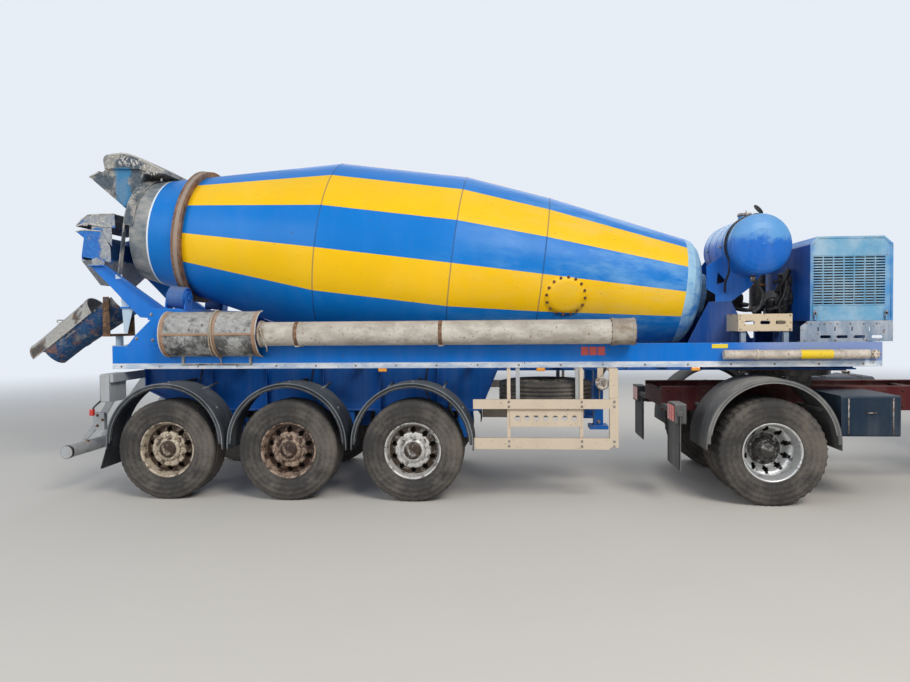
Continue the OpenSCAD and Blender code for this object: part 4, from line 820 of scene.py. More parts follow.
# Drum engine: seen through the grille and between hood and tank, a dark mass of pipes, pulleys, filter
# bowls and wiring. Its silencer is rusty and ends in an open rain flap.
@drawn_by("engine_pipes", "trailer", black_hose)
def engine_pipes(made):
    rng = random.Random(7)
    for k in range(9):
        x, y = 4022 + 12 * k, -186 - 26 * (k % 3)
        top, low = 2180 + rng.uniform(-60, 180), 1850 + rng.uniform(0, 60)
        sway = [rng.uniform(-45, 45) for _ in range(4)]
        points = [(x, y, low), (x - 30 + sway[0], y - 34, low + (top - low) * 0.3),
                  (x - 10 + sway[1], y - 42, low + (top - low) * 0.6), (x + sway[2], y - 10, top)]
        pipe(made, [at_trailer(*p) for p in points], rng.choice((0.008, 0.011, 0.016, 0.022)), 8)
    for x0, z0, x1, z1, r in ((3990, 2150, 4110, 2400, 0.030), (3900, 1950, 4110, 1985, 0.026),
                              (3960, 2260, 4120, 2280, 0.018)):
        pipe(made, trailer_points((x0, -200, z0), ((x0 + x1) / 2, -262, (z0 + z1) / 2 + 20),
                                  (x1, -230, z1)), r, 10)


@drawn_by("engine_fittings", "trailer", oily_iron)
def engine_fittings(made):
    for x, y, z, r, h in ((4066, -250, 1935, 0.052, 0.17), (3952, -150, 1905, 0.062, 0.20),
                          (4066, -160, 2250, 0.045, 0.12)):
        turned(made, Matrix.Translation(at_trailer(x, y, z)),
               [(tip, -0.01), (r * 0.6, -0.01), (r, 0.006), (r, h * 0.7), (r * 1.08, h * 0.72),
                (r * 1.08, h * 0.86), (r * 0.5, h), (tip, h)], 20)
    for y, z, r in ((-228, 2085, 0.085), (-228, 2280, 0.055), (-228, 1915, 0.050)):
        turned(made, axis_matrix(at_trailer(4126, y, z), (-1, 0, 0)),
               [(r, 0), (r, 0.008), (r * 0.86, 0.016), (r, 0.024), (r, 0.032), (r * 0.4, 0.032),
                (r * 0.35, 0.05), (tip, 0.05)], 28)
    soft_block(made, at_trailer(3925, -330, 1838), at_trailer(4010, -190, 1895), 0.01)


radiator_black, tree, shader = new_material("radiator_core", roughness=0.6, metallic=0.4)
comb = add_node(tree, "TexWave", {"Vector": place(tree), "Scale": 60.0, "Distortion": 0.4},
                bands_direction="X").outputs[0]
core_dust = steps(cloud(place(tree), 0.1), 0.4, 0.7)
show(shader, two_colours(core_dust, (0.02, 0.02, 0.02), (0.16, 0.12, 0.09)))
bump(shader, comb, 0.002)


@drawn_by("radiator_face", "trailer", radiator_black)
def radiator_face(made):
    for x in (4188, 4364, 4540, 4716):
        soft_block(made, at_trailer(x, -552, 1900), at_trailer(x + 172, -541, 2440), 0.004)


exhaust_rust = rusted("exhaust_rust", (0.10, 0.045, 0.025), (0.36, 0.17, 0.09), 0.04)


@drawn_by("silencer_bands", "trailer", exhaust_rust)
def silencer_bands(made):
    centre = Matrix.Translation(at_trailer(4000, 430, 1950))
    turned(made, centre, [(0.094, 0.02), (0.097, 0.03), (0.094, 0.04)], 32)
    for z in (0.03, 0.30, 0.61):
        turned(made, centre, [(0.0925, z), (0.096, z + 0.004), (0.096, z + 0.026), (0.0925, z + 0.03)], 32)


# Hood: folded sheet with a louvred face. The face is painted pale, blotched and a deeper blue towards
# its ends, as painted sunlight; the back is painted a darker blue, as painted shade. It is held by two
# toggle latches at the bottom corners of the face.
def hood_paint(tree):
    face_y = -0.739
    parts = split(place(tree))
    front = is_below(parts["Y"], face_y)
    blotches = steps(cloud(place(tree), 0.35, 6, 0.65), 0.34, 0.66)
    middle_x = apart(parts["X"], station(4525))
    to_edge = steps(plus(middle_x, times(cloud(place(tree), 0.15, 5), 0.25)), 0.42, 0.58)
    # The face is painted pale, with a deeper blue towards its ends: painted sunlight.
    painted_sunlight = two_colours(blotches, (0.13, 0.36, 0.56), (0.34, 0.50, 0.62))
    painted_sunlight = two_colours(times(to_edge, 0.8), painted_sunlight, (0.02, 0.22, 0.60))
    # The back of the hood is painted a darker blue: painted shade.
    rear = is_below(parts["X"], station(4146))
    sheet = two_colours(blotches, (0.004, 0.17, 0.55), (0.02, 0.26, 0.66))
    sheet = two_colours(rear, sheet, (0.002, 0.095, 0.42))
    return two_colours(front, sheet, painted_sunlight)


hood_mat = painted("hood_paint", hood_paint, dust=(0.44, 0.48, 0.50), dust_amount=0.2,
                   chip=(0.22, 0.12, 0.08), chips=0.18, gloss=0.45, coat=0.05)
dress(hood_mat, "engine_hood")


@drawn_by("hood_trim", "engine_hood", hood_mat)
def hood_trim(made):
    outline = [(4150, 1850), (4150, 2614), (4206, 2686), (4862, 2686), (4932, 2614), (4932, 1850)]
    for (x0, z0), (x1, z1) in zip(outline, outline[1:]):
        pipe(made, trailer_points((x0, -751, z0), (x1, -751, z1)), 0.0045, 6, smooth=False)
    for i in range(7):
        x = 4160 + i * 104 - 6
        pipe(made, trailer_points((x, -751, 1992), (x, -751, 2506)), 0.003, 6, smooth=False)
    for z in (1992, 2506):
        pipe(made, trailer_points((4154, -751, z), (4882, -751, z)), 0.004, 6, smooth=False)


@drawn_by("hood_latches", "engine_hood", zinc_bolt)
def hood_latches(made):
    for x in (4172, 4880):
        for dx in (-14, 14):
            pipe(made, trailer_points((x + dx, -764, 1850), (x + dx, -770, 1890),
                                      (x + dx * 0.6, -768, 1938)), 0.0032, 8)
        soft_block(made, at_trailer(x - 15, -776, 1892), at_trailer(x + 15, -768, 1926), 0.003)
        for z in (1845, 1938):
            hex_bolt(made, at_trailer(x, -758, z), (0, -1, 0), 0.006, 0.006)


# Water tank: a rolled blue shell with dished ends, a weld at each, two straps and a filler lid. A cable
# is draped over it behind the near dish, and a gauge cock and a hose hang below.
tank_centre = at_trailer(3610, 0, 2633)
tank_r = 0.315


def tank_colour(tree):
    parts = split(place(tree))
    high = plus(parts["Z"], times(cloud(place(tree), 0.18, 7, 0.7), 0.35))
    crown_low, crown_high = 2.82, 2.92
    # The crown is painted paler towards the top: a painted highlight from the light above.
    painted_sunlight = times(steps(high, crown_low, crown_high), 0.55)
    return two_colours(painted_sunlight, (0.002, 0.135, 0.55), (0.20, 0.48, 0.74))


tank_mat = painted("tank_paint", tank_colour, dust=(0.44, 0.48, 0.50), dust_amount=0.16, chips=0.15,
                   gloss=0.36, coat=0.15)
dress(tank_mat, "water_tank")


def tank_ring(made, y, lift, thick):
    rows = ((y - thick, -0.001), (y - thick * 0.5, lift), (y + thick * 0.5, lift), (y + thick, -0.001))
    matrix = axis_matrix(tank_centre + Vector((0, -1, 0)), (0, 1, 0))
    turned(made, matrix, [(tank_r + up, 1 + along) for along, up in rows], 72)


@drawn_by("tank_welds", "trailer", tank_mat)
def tank_welds(made):
    for y in (-0.790, -0.315, 0.160):
        tank_ring(made, y, 0.0025, 0.008)


def around_tank(y, lift, start, end, count=12):
    return [tank_centre + Vector(((tank_r + lift) * math.cos(a), y, (tank_r + lift) * math.sin(a)))
            for a in sweep(start, end, count - 1)]


@drawn_by("tank_cables", "trailer", black_hose)
def tank_cables(made):
    tail = trailer_points((3330, -640, 2360), (3318, -560, 2250), (3330, -500, 2150))
    pipe(made, around_tank(-0.700, 0.006, 62, 205) + tail, 0.006, 8)
    pipe(made, around_tank(-0.655, 0.008, 70, 208) + [p + Vector((0.02, 0.03, 0)) for p in tail], 0.008, 8)
    pipe(made, trailer_points((3610, -560, 2316), (3640, -560, 2240), (3720, -540, 2130),
                              (3700, -520, 1990), (3620, -540, 1925)), 0.019, 12)


@drawn_by("tank_fittings", "trailer", zinc_bolt)
def tank_fittings(made):
    lid = Matrix.Translation(tank_centre + Vector((0, -0.300, tank_r + 0.064)))
    turned(made, lid, [(0.070, -0.02), (0.076, -0.018), (0.078, 0.0), (0.072, 0.012), (0.03, 0.018),
                       (tip, 0.018)], 32)
    for sign in (-1, 1):
        soft_block(made, tank_centre + Vector((0.062 * sign - 0.01, -0.312, tank_r + 0.05)),
                   tank_centre + Vector((0.062 * sign + 0.01, -0.288, tank_r + 0.078)), 0.003)
    pipe(made, [tank_centre + Vector((-0.10, -0.66, 0.295)), tank_centre + Vector((-0.10, -0.66, 0.335)),
                tank_centre + Vector((-0.105, -0.66, 0.372))], 0.005, 8)
    turned(made, Matrix.Translation(tank_centre + Vector((0, -0.560, -tank_r - 0.035))),
           [(tip, 0.03), (0.03, 0.03), (0.034, 0.02), (0.024, 0.0), (0.024, -0.02), (tip, -0.02)], 20)
    for y in (-0.505, -0.015):
        hex_bolt(made, tank_centre + Vector((-0.318, y, 0)), (-1, 0, 0), 0.010, 0.016)


# Charging hopper: thick plate under years of cement, with a bleached blue patch on the cheek, a dark
# blue floor and a crusted white edge on the seal. Its lip is rolled round a bar.
def hopper_material():
    made, tree, shader = new_material("hopper_crust", roughness=0.85)
    where = place(tree)
    parts = split(where)
    lump = cloud(where, 0.03, 6, 0.7)
    spread = cloud(where, 0.28, 7, 0.62)
    steel = two_colours(steps(lump, 0.4, 0.6), (0.055, 0.075, 0.095), (0.11, 0.13, 0.15))
    x0, x1 = station(-3600), station(-3440)
    wavy = plus(parts["X"], times(minus(spread, 0.5), 0.25))
    patch = times(steps(wavy, x0 - 0.02, x0 + 0.02), inverse(steps(wavy, x1 - 0.02, x1 + 0.02)))
    patch = times(patch, is_below(parts["Z"], 3.69))
    steel = two_colours(times(patch, 0.85), steel, (0.04, 0.22, 0.42))
    covered = steps(plus(spread, times(steps(parts["X"], x1, x1 + 0.35), 0.10)), 0.47, 0.58)
    covered = times(covered, inverse(times(patch, 0.8)))
    tone = two_colours(steps(lump, 0.32, 0.68), (0.30, 0.28, 0.25), (0.50, 0.46, 0.40))
    show(shader, two_colours(times(covered, 0.9), steel, tone))
    bump(shader, times(covered, lump), 0.008)
    return made


hopper_mat = hopper_material()
dress(hopper_mat, "charging_hopper")
pale_crust = crusted("pale_crust", (0.30, 0.30, 0.30), (0.66, 0.63, 0.57), 0.9)
collar_top = [(-3709, 3837), (-3513, 3867), (-3415, 3853), (-3271, 3797), (-2990, 3649)]
seal_r = 0.606


@drawn_by("hopper_rims", "trailer", pale_crust)
def hopper_rims(made):
    for sign in (-1, 1):
        pipe(made, [at_trailer(x, 366 * sign, z)
                    for x, z in [(-3709, 3680)] + [(x, z - 13) for x, z in collar_top]], 0.011, 8)
        pipe(made, [at_trailer(x, 314 * sign, z) for x, z in ((-3812, 3666), (-3936, 3606))], 0.010, 8,
             smooth=False)
    pipe(made, [at_trailer(-3938, y, 3608) for y in (-310, 0, 310)], 0.010, 8)
    pipe(made, [at_trailer(-3705, y, 3822) for y in (-366, 0, 366)], 0.011, 8)


@drawn_by("seal_edge", "trailer", pale_crust)
def seal_edge(made):
    arc = [drum_place @ Vector((seal_r * math.cos(a), seal_r * math.sin(a), 3.330 + 0.062))
           for a in sweep(-98, 98, 40)]
    pipe(made, arc, 0.009, 8, smooth=False)
    back = [drum_place @ Vector((seal_r * math.cos(a), seal_r * math.sin(a), 3.292))
            for a in sweep(-88, 88, 40)]
    pipe(made, back, 0.006, 8, smooth=False)


def drip_line(r):
    return [(r, -0.002), (r * 0.8, r * 0.25), (r * 0.4, r * 0.4), (tip, r * 0.42)]


@drawn_by("cement_drips", "trailer", pale_crust)
def cement_drips(made):
    rng = random.Random(11)
    for sign in (-1, 1):
        for _ in range(60):
            k = rng.randrange(len(collar_top) - 1)
            (x0, z0), (x1, z1) = collar_top[k], collar_top[k + 1]
            t = rng.random()
            down = rng.uniform(20, 150)
            at = at_trailer(x0 + (x1 - x0) * t, 370.5 * sign, z0 + (z1 - z0) * t - down)
            r = rng.uniform(0.006, 0.016)
            turned(made, axis_matrix(at, (0, sign, 0)) @ Matrix.Diagonal((1, rng.uniform(1, 2.2), 1, 1)),
                   drip_line(r), 9)


# Discharge hopper: blue wings and rear wall, a grey crusted splash flap with a white edge, and an
# outlet funnel that has taken the colour of the concrete
def discharge_material():
    made, tree, shader = new_material("discharge_paint", roughness=0.6)
    where = place(tree)
    parts = split(where)
    lump = cloud(where, 0.03, 6, 0.7)
    spread = cloud(where, 0.22, 7, 0.65)
    high = steps(parts["Z"], 2.93, 2.99)
    low = inverse(steps(parts["Z"], 2.56, 2.66))
    forward = steps(parts["X"], station(-3760), station(-3640))
    more = larger(larger(times(high, 0.9), low), times(forward, 0.8))
    covered = steps(plus(spread, times(more, 0.25)), 0.60, 0.68)
    blue = two_colours(steps(lump, 0.35, 0.65), (0.003, 0.10, 0.42), (0.01, 0.17, 0.52))
    tone = two_colours(steps(lump, 0.3, 0.7), (0.22, 0.24, 0.26), (0.46, 0.45, 0.42))
    show(shader, two_colours(times(covered, 0.93), blue, tone))
    bump(shader, times(covered, lump), 0.008)
    return made


dress(discharge_material(), "discharge_hopper")
flap_line = [(-3972, 2997), (-3909, 3066), (-3835, 3116), (-3520, 3121)]
wing_line = [(-3982, 2933), (-3888, 2949), (-3677, 2934)]


@drawn_by("discharge_rims", "trailer", pale_crust)
def discharge_rims(made):
    for sign in (-1, 1):
        pipe(made, [at_trailer(x, 532 * sign, z) for x, z in ((-3972, 2997), (-3850, 3018), (-3600, 2978))],
             0.009, 8)
        pipe(made, [at_trailer(x, 532 * sign, z) for x, z in wing_line], 0.008, 8)
        pipe(made, [at_trailer(x, 532 * sign, z + 6) for x, z in flap_line], 0.008, 8, smooth=False)
    pipe(made, [at_trailer(-3976, y, 3000) for y in (-528, 0, 528)], 0.010, 8)
    rng = random.Random(5)
    for _ in range(70):
        sign = rng.choice((-1, 1))
        x = rng.uniform(-3960, -3560)
        at = at_trailer(x, 531 * sign, rng.uniform(3000, 3026 + 90 * (x > -3850)))
        r = rng.uniform(0.006, 0.018)
        turned(made, axis_matrix(at, (0, sign, 0)), drip_line(r), 9)


# Chute: blue and rusty outside with cement in its trough; the fold-over section is pale outside and
# crusted within. Both carry grab rods, and the bracket below is rusty plate.
dress(rusted("bracket_rust"), "chute_bracket", "kingpin_plate")
dress(crusted("chute_crust", (0.004, 0.045, 0.15), (0.30, 0.29, 0.27), 0.42, under=(0.03, 0.10, 0.20),
              rust=0.8), "chute_main")
dress(crusted("fold_crust", (0.10, 0.09, 0.08), (0.52, 0.50, 0.46), 0.85, rust=0.9), "chute_extension")
slope = math.radians(36)
tilt_pin = at_trailer(-3790, 0, 2153)


def on_chute(x, y, z):
    """A point in the chute's frame: x up along it from the tilt pin, z square to the plane of its rims."""
    x, y, z = x / 1000, y / 1000, z / 1000
    return tilt_pin + Vector((x * math.cos(slope) - z * math.sin(slope), y,
                              x * math.sin(slope) + z * math.cos(slope)))


def chute_points(*stations):
    return [on_chute(*s) for s in stations]


@drawn_by("chute_rods", "chute_main", zinc_bolt)
def chute_rods(made):
    for sign in (-1, 1):
        pipe(made, [on_chute(x, sign * (265 + dy), -60)
                    for x, dy in ((-700, -58), (-690, -12), (-560, -10), (-548, -54))], 0.008, 8)
        for x in (-640, -420, -200):
            hex_bolt(made, on_chute(x, sign * (215 + (x + 745) * 0.075), -14), (0, sign, 0), 0.009, 0.008)


@drawn_by("fold_rims", "chute_extension", pale_crust)
def fold_rims(made):
    for sign in (-1, 1):
        pipe(made, [on_chute(x, sign * (199 + 30 * max(0, (x + 1015) / 750)), 8)
                    for x in (-1204, -1015, -640, -268)], 0.007, 8)
    lip = [on_chute(-268, 229 * math.cos(a), 229 * math.sin(a)) for a in sweep(4, 176, 24)]
    pipe(made, lip, 0.007, 8, smooth=False)
    tail = [on_chute(-1203, 199 * math.cos(a), 199 * math.sin(a)) for a in sweep(4, 176, 24)]
    pipe(made, tail, 0.007, 8, smooth=False)
    pipe(made, chute_points((-760, -70, 222), (-756, -60, 252), (-752, 60, 252), (-748, 70, 222)), 0.008, 8)


# Side pipe and front tube: beige painted steel, chalky with cement, in rusty clamps. The pipe's front
# collar is bolted through a flange; the tube has a yellow section and a capped end.
pipe_line = at_trailer(0, -1130, 1741)


def pipe_colour(tree):
    parts = split(place(tree))
    mottled = steps(cloud(place(tree), 0.12, 7, 0.68, stretch=(0.5, 1, 1)), 0.34, 0.66)
    pale = two_colours(mottled, (0.42, 0.37, 0.31), (0.66, 0.61, 0.53))
    ends = larger(steps(parts["X"], station(2010), station(2040)),
                  inverse(steps(parts["X"], station(-1560), station(-1500))))
    collar = two_colours(mottled, (0.22, 0.16, 0.11), (0.50, 0.45, 0.38))
    return two_colours(times(ends, 0.85), pale, collar)


dress(painted("pipe_paint", pipe_colour, dust=(0.34, 0.30, 0.26), dust_amount=0.35, chip=(0.24, 0.14, 0.08),
              chips=0.25, gloss=0.55, coat=0), "side_pipe")


def tube_colour(tree):
    parts = split(place(tree))
    mottled = steps(cloud(place(tree), 0.10, 6, 0.65), 0.34, 0.66)
    pale = two_colours(mottled, (0.44, 0.38, 0.33), (0.70, 0.62, 0.52))
    x0, x1 = station(3906), station(4215)
    section = times(is_above(parts["X"], x0), is_below(parts["X"], x1))
    return two_colours(section, pale, (0.90, 0.62, 0.02))


dress(painted("tube_paint", tube_colour, dust=(0.34, 0.30, 0.26), dust_amount=0.25, chip=(0.24, 0.14, 0.08),
              chips=0.3, gloss=0.5, coat=0), "front_tube")


clamp_rust = rusted("clamp_rust", (0.12, 0.06, 0.035), (0.34, 0.20, 0.12), 0.03)


@drawn_by("pipe_fittings", "trailer", clamp_rust)
def pipe_fittings(made):
    for x, side in ((2030, -1), (2260, 1)):
        for a in around(12):
            at = pipe_line + Vector((x / 1000 + 0.001 * side, 0.132 * math.cos(a), 0.132 * math.sin(a)))
            hex_bolt(made, at, (side, 0, 0), 0.006, 0.008)
    ring = axis_matrix(pipe_line + Vector((-1.590, 0, 0)), (-1, 0, 0))
    turned(made, ring, [(0.119, -0.01), (0.139, 0.0), (0.141, 0.006), (0.136, 0.010), (0.119, 0.010)], 48)
    for x in (-1200, 300):
        hoop = axis_matrix(pipe_line + Vector((x / 1000 - 0.02, 0, 0)), (1, 0, 0))
        turned(made, hoop, [(0.1252, 0), (0.1285, 0.002), (0.1285, 0.038), (0.1252, 0.04)], 48)
    for x in (3487, 4300):
        for z in (1474, 1522):
            hex_bolt(made, at_trailer(x, -1048, z), (0, -1, 0), 0.007, 0.006)
    for a in around(6):
        at = at_trailer(4640 + 34 * math.cos(a), -1052, 1498 + 34 * math.sin(a))
        hex_bolt(made, at, (0, -1, 0), 0.006, 0.006)


@drawn_by("pipe_crust", "trailer", pale_crust)
def pipe_crust(made):
    rng = random.Random(3)
    for _ in range(150):
        x, a, r = rng.uniform(-1560, 2010), math.radians(rng.uniform(100, 260)), rng.uniform(0.004, 0.012)
        out = Vector((0, math.cos(a), math.sin(a)))
        turned(made, axis_matrix(pipe_line + Vector((x / 1000, 0, 0)) + 0.1248 * out, out),
               [(r, -0.001), (r * 0.8, r * 0.22), (r * 0.4, r * 0.36), (tip, r * 0.38)], 8)


# Stored chute sections: half shells strapped to the rail, pale cement above a rusty middle rib, with
# rusty end bands and a rope tied round them
def stored_colour(tree):
    rib_z, rib_half = 1.743, 0.0125
    parts = split(place(tree))
    lump = cloud(place(tree), 0.05, 7, 0.7)
    wide = cloud(place(tree), 0.20, 6, 0.6)
    above = steps(parts["Z"], 1.735, 1.755)
    covered = steps(plus(wide, times(above, 0.12)), 0.42, 0.60)
    colour = two_colours(covered, (0.075, 0.075, 0.075),
                         two_colours(steps(lump, 0.3, 0.7), (0.26, 0.26, 0.25), (0.46, 0.45, 0.43)))
    scratches = steps(cloud(place(tree), 0.03, 4, 0.6, stretch=(1, 1, 0.15)), 0.56, 0.66)
    colour = two_colours(times(scratches, 0.5), colour, (0.50, 0.50, 0.48))
    off_rib = apart(parts["Z"], rib_z)
    band = is_below(off_rib, rib_half)
    for x0, x1 in ((-2662, -2613), (-2122, -2058), (-1667, -1618)):
        here = times(is_above(parts["X"], station(x0)), is_below(parts["X"], station(x1)))
        band = larger(band, here)
    band = times(band, is_above(plus(lump, 0.25), 0.55))
    return two_colours(times(band, 0.8), colour, (0.40, 0.22, 0.12))


dress(painted("stored_paint", stored_colour, dust=(0.40, 0.38, 0.35), dust_amount=0.2,
              chip=(0.14, 0.08, 0.05), chips=0.3, gloss=0.7, coat=0), "stored_chutes")
rope, tree, shader = new_material("straw_rope", roughness=0.9)
twist = add_node(tree, "TexWave", {"Vector": place(tree), "Scale": 26.0, "Distortion": 1.0},
                 bands_direction="DIAGONAL").outputs[0]
show(shader, two_colours(twist, (0.30, 0.24, 0.17), (0.62, 0.55, 0.44)))
bump(shader, twist, 0.003)
store_centre = at_trailer(0, -1002, 1743)


def around_store(x, r, start, end, lean=0.0, count=14):
    return [store_centre + Vector((x / 1000 + lean * k / (count - 1), -r * math.cos(a), r * math.sin(a)))
            for k, a in enumerate(sweep(start, end, count - 1))]


@drawn_by("store_ropes", "trailer", rope)
def store_ropes(made):
    pipe(made, around_store(-2105, 0.256, 84, -88, 0.03), 0.007, 8)
    pipe(made, around_store(-2090, 0.254, 86, -60, -0.035), 0.006, 8)
    hanging = trailer_points((-1560, -1264, 1800), (-1530, -1263, 1700), (-1500, -1240, 1610),
                             (-1520, -1180, 1560))
    pipe(made, hanging, 0.007, 8)
    pipe(made, trailer_points((-2080, -1040, 1500), (-2075, -1022, 1450), (-2078, -1012, 1416)), 0.006, 8)


@drawn_by("store_rims", "trailer", pale_crust)
def store_rims(made):
    for x in (-2660, -1620):
        pipe(made, around_store(x, 0.243, 89, -89, count=32), 0.007, 8, smooth=False)
    for x in (-2500, -1760):
        for z in (1425, 1460):
            hex_bolt(made, at_trailer(x, -1012, z), (0, -1, 0), 0.007, 0.006)


# Side guards, inlet coupling and spare wheel cradle: beige rails on posts, a galvanised coupling with
# lugs, and cradle bars
guard_beige = painted("guard_beige", (0.66, 0.55, 0.42), dust=(0.36, 0.28, 0.20), dust_amount=0.3,
                      chip=(0.30, 0.16, 0.09), chips=0.25, gloss=0.45, coat=0)
dress(guard_beige, "side_guards")
zinc = painted("zinc", (0.42, 0.44, 0.45), dust=(0.36, 0.31, 0.25), dust_amount=0.4,
               chip=(0.25, 0.12, 0.06), chips=0.25, gloss=0.42, coat=0)
dress(zinc, "spare_cradle", "rear_bumper")


@drawn_by("guard_bolts", "trailer", zinc_bolt)
def guard_bolts(made):
    for sign in (-1, 1):
        for x in (993, 1723, 2044):
            for z in (590, 640, 990, 1040):
                hex_bolt(made, at_trailer(x, 1225 * sign, z), (0, sign, 0), 0.010, 0.008)


def block_at(made, centre, half, round_by, turn=None):
    soft_block(made, centre - Vector(half), centre + Vector(half), round_by, turn)


@drawn_by("inlet_parts", "trailer", zinc_bolt)
def inlet_parts(made):
    turned(made, axis_matrix(at_trailer(1937, -1170, 1219), (0, -1, 0)),
           [(0.040, -0.02), (0.046, 0.004), (0.060, 0.004), (0.064, 0.0), (0.066, -0.006)], 32)
    for side in (1, -1):
        block_at(made, at_trailer(1937 + 58 * side, -1163, 1219), (0.016, 0.012, 0.012), 0.004)
    pipe(made, trailer_points((1937, -975, 1219), (1937, -900, 1225), (1960, -820, 1290),
                              (2000, -740, 1340), (2040, -520, 1362)), 0.036, 14)


# Axles and springs: dusty black forgings under the beams. Each end carries a pressed brake chamber, a
# shock absorber in two telescoping tubes, and an air hose that loops up to the frame.
dress(oily_iron, "trailer_axles", "tractor_axles", "knuckle_right", "knuckle_left")
axle_stations = (-2620, -1310, 0)


@drawn_by("brake_chambers", "trailer", oily_iron)
def brake_chambers(made):
    for x in axle_stations:
        for sign in (-1, 1):
            at = at_trailer(x + 110, 600 * sign, 640)
            turned(made, axis_matrix(at, (0.35, 0, 1)),
                   [(tip, 0), (0.03, 0), (0.078, 0.02), (0.086, 0.05), (0.094, 0.055), (0.094, 0.068),
                    (0.086, 0.074), (0.078, 0.12), (0.05, 0.135), (tip, 0.135)], 28)
            pipe(made, [at_trailer(x + 15, 560 * sign, 580), at_trailer(x + 60, 575 * sign, 600),
                        at + Vector((0, 0, 0.01))], 0.018, 8)
            pipe(made, trailer_points((x + 330, 560 * sign, 600), (x + 335, 540 * sign, 850)), 0.030, 12,
                 smooth=False)
            pipe(made, trailer_points((x + 337, 541 * sign, 840), (x + 342, 536 * sign, 960)), 0.020, 12,
                 smooth=False)


@drawn_by("air_hoses", "trailer", black_hose)
def air_hoses(made):
    for x in axle_stations:
        for sign in (-1, 1):
            pipe(made, trailer_points((x + 150, 600 * sign, 770), (x + 170, 580 * sign, 880),
                                      (x + 110, 545 * sign, 1000), (x + 60, 500 * sign, 1120),
                                      (x + 80, 472 * sign, 1300), (x + 90, 466 * sign, 1420)), 0.009, 8)


# Trailer mudguards: moulded dark plastic half rounds, chalky with dust on the crown and the lip. They
# are bolted to tube stays from the beams, and carry bristled strips and a flap against spray.
def dusty_plastic(name, tint, dust=(0.33, 0.31, 0.28), amount=0.5, roughness=0.6):
    return painted(name, tint, dust=dust, dust_amount=amount, chip=tint, chips=0.0, gloss=roughness, coat=0)


dress(dusty_plastic("guard_grey", (0.020, 0.023, 0.027), dust=(0.20, 0.22, 0.24), amount=0.45),
      "trailer_mudguards")
lip_grey = dusty_plastic("lip_grey", (0.16, 0.17, 0.18), dust=(0.40, 0.39, 0.37), amount=0.6)
guard_z, guard_r = 600, 629


def guard_arc(x, y, z, r, sign, drop, start=0, end=180, count=40):
    arc = [at_trailer(x + r * math.cos(a), y * sign, z + r * math.sin(a)) for a in sweep(start, end, count)]
    tail = [at_trailer(x + r, y * sign, z - drop)] if start == 0 else []
    front = [at_trailer(x - r, y * sign, z - drop)] if end == 180 else []
    return tail + arc + front


@drawn_by("guard_lips", "trailer", lip_grey)
def guard_lips(made):
    for x in axle_stations:
        for sign in (-1, 1):
            pipe(made, guard_arc(x, 1236, guard_z, guard_r - 2, sign, 58), 0.0065, 8, smooth=False)
            pipe(made, guard_arc(x, 1236, guard_z, guard_r - 32, sign, -4), 0.005, 8, smooth=False)
            for a in map(math.radians, (35, 90, 145)):
                c = at_trailer(x + (guard_r + 4) * math.cos(a), 1100 * sign,
                               guard_z + (guard_r + 4) * math.sin(a))
                hex_bolt(made, c, (math.cos(a), 0, math.sin(a)), 0.012, 0.008)
            for k in (-1, 1):
                low = at_trailer(x + k * 300, 1100 * sign, guard_z + math.sqrt(625 ** 2 - 300 ** 2) - 14)
                pipe(made, [low, low + Vector((0, -sign * 0.3, 0.02)),
                            at_trailer(x + k * 300, 540 * sign, 1180)], 0.014, 8)


@drawn_by("guard_mats", "trailer", black_hose)
def guard_mats(made):
    """Bristled spray strips along the inner edge of each guard and a moulded flap behind axle one."""
    for x in axle_stations:
        for sign in (-1, 1):
            for k in range(36):
                a = math.radians(5 + 170 * k / 35)
                c = Vector((math.cos(a), 0, math.sin(a)))
                one = at_trailer(x, 1226 * sign, guard_z) + c * 0.590
                block_at(made, one, (0.022, 0.003, 0.012), 0.001, Matrix.Rotation(math.pi / 2 - a, 4, "Y"))
    for sign in (-1, 1):
        for k in range(9):
            x = -2620 - 633 - 8 - 6 * k
            soft_block(made, at_trailer(x - 3, sign * 1030 - 175, 520 - 20 * k - 5),
                       at_trailer(x + 3, sign * 1030 + 175, 520 - 20 * k + 5), 0.002)


# Rear end: bumper tube with plastic caps, lamp housings in faded lilac with three-part lenses, a blank
# plate with its lamp, and marker lamps on rubber stalks
housing = painted("lamp_housing", (0.33, 0.30, 0.40), dust=(0.45, 0.42, 0.42), dust_amount=0.4, chips=0.0,
                  gloss=0.5, coat=0)
lamp_red, tree, shader = new_material("lamp_red", roughness=0.2, coat=0.5)
prism = add_node(tree, "TexChecker", {"Vector": place(tree), "Scale": 90.0}).outputs["Fac"]
parts = split(place(tree))
amber_low_z, clear_high_z = 1.222, 1.110
amber_part = is_above(parts["Z"], amber_low_z)
clear_part = is_below(parts["Z"], clear_high_z)
lens = two_colours(amber_part, (0.52, 0.015, 0.015), (0.90, 0.30, 0.02))
lens = two_colours(clear_part, lens, (0.62, 0.58, 0.58))
show(shader, two_colours(times(prism, 0.35), lens, (0.12, 0.01, 0.01)))
bump(shader, prism, 0.001)
dress(lamp_red, "trailer_lamps")
lamp_rear_x = -3328


@drawn_by("lamp_frames", "trailer", housing)
def lamp_frames(made):
    for sign in (-1, 1):
        for y in (1190, 1020):
            inner = [(y - 152, 1043), (y - 152, 1314), (y - 8, 1314), (y - 8, 1043)]
            loop = [at_trailer(lamp_rear_x - 4, a * sign, z) for a, z in inner]
            pipe(made, loop + [loop[0]], 0.007, 8, smooth=False)
            for a, z in inner:
                at = at_trailer(lamp_rear_x - 4, (a + (5 if a < y - 80 else -5)) * sign, z)
                hex_bolt(made, at, (-1, 0, 0), 0.005, 0.005)
            for z in (1118, 1218):
                pipe(made, trailer_points((lamp_rear_x - 12, (y - 146) * sign, z),
                                          (lamp_rear_x - 12, (y - 14) * sign, z)), 0.003, 6, smooth=False)


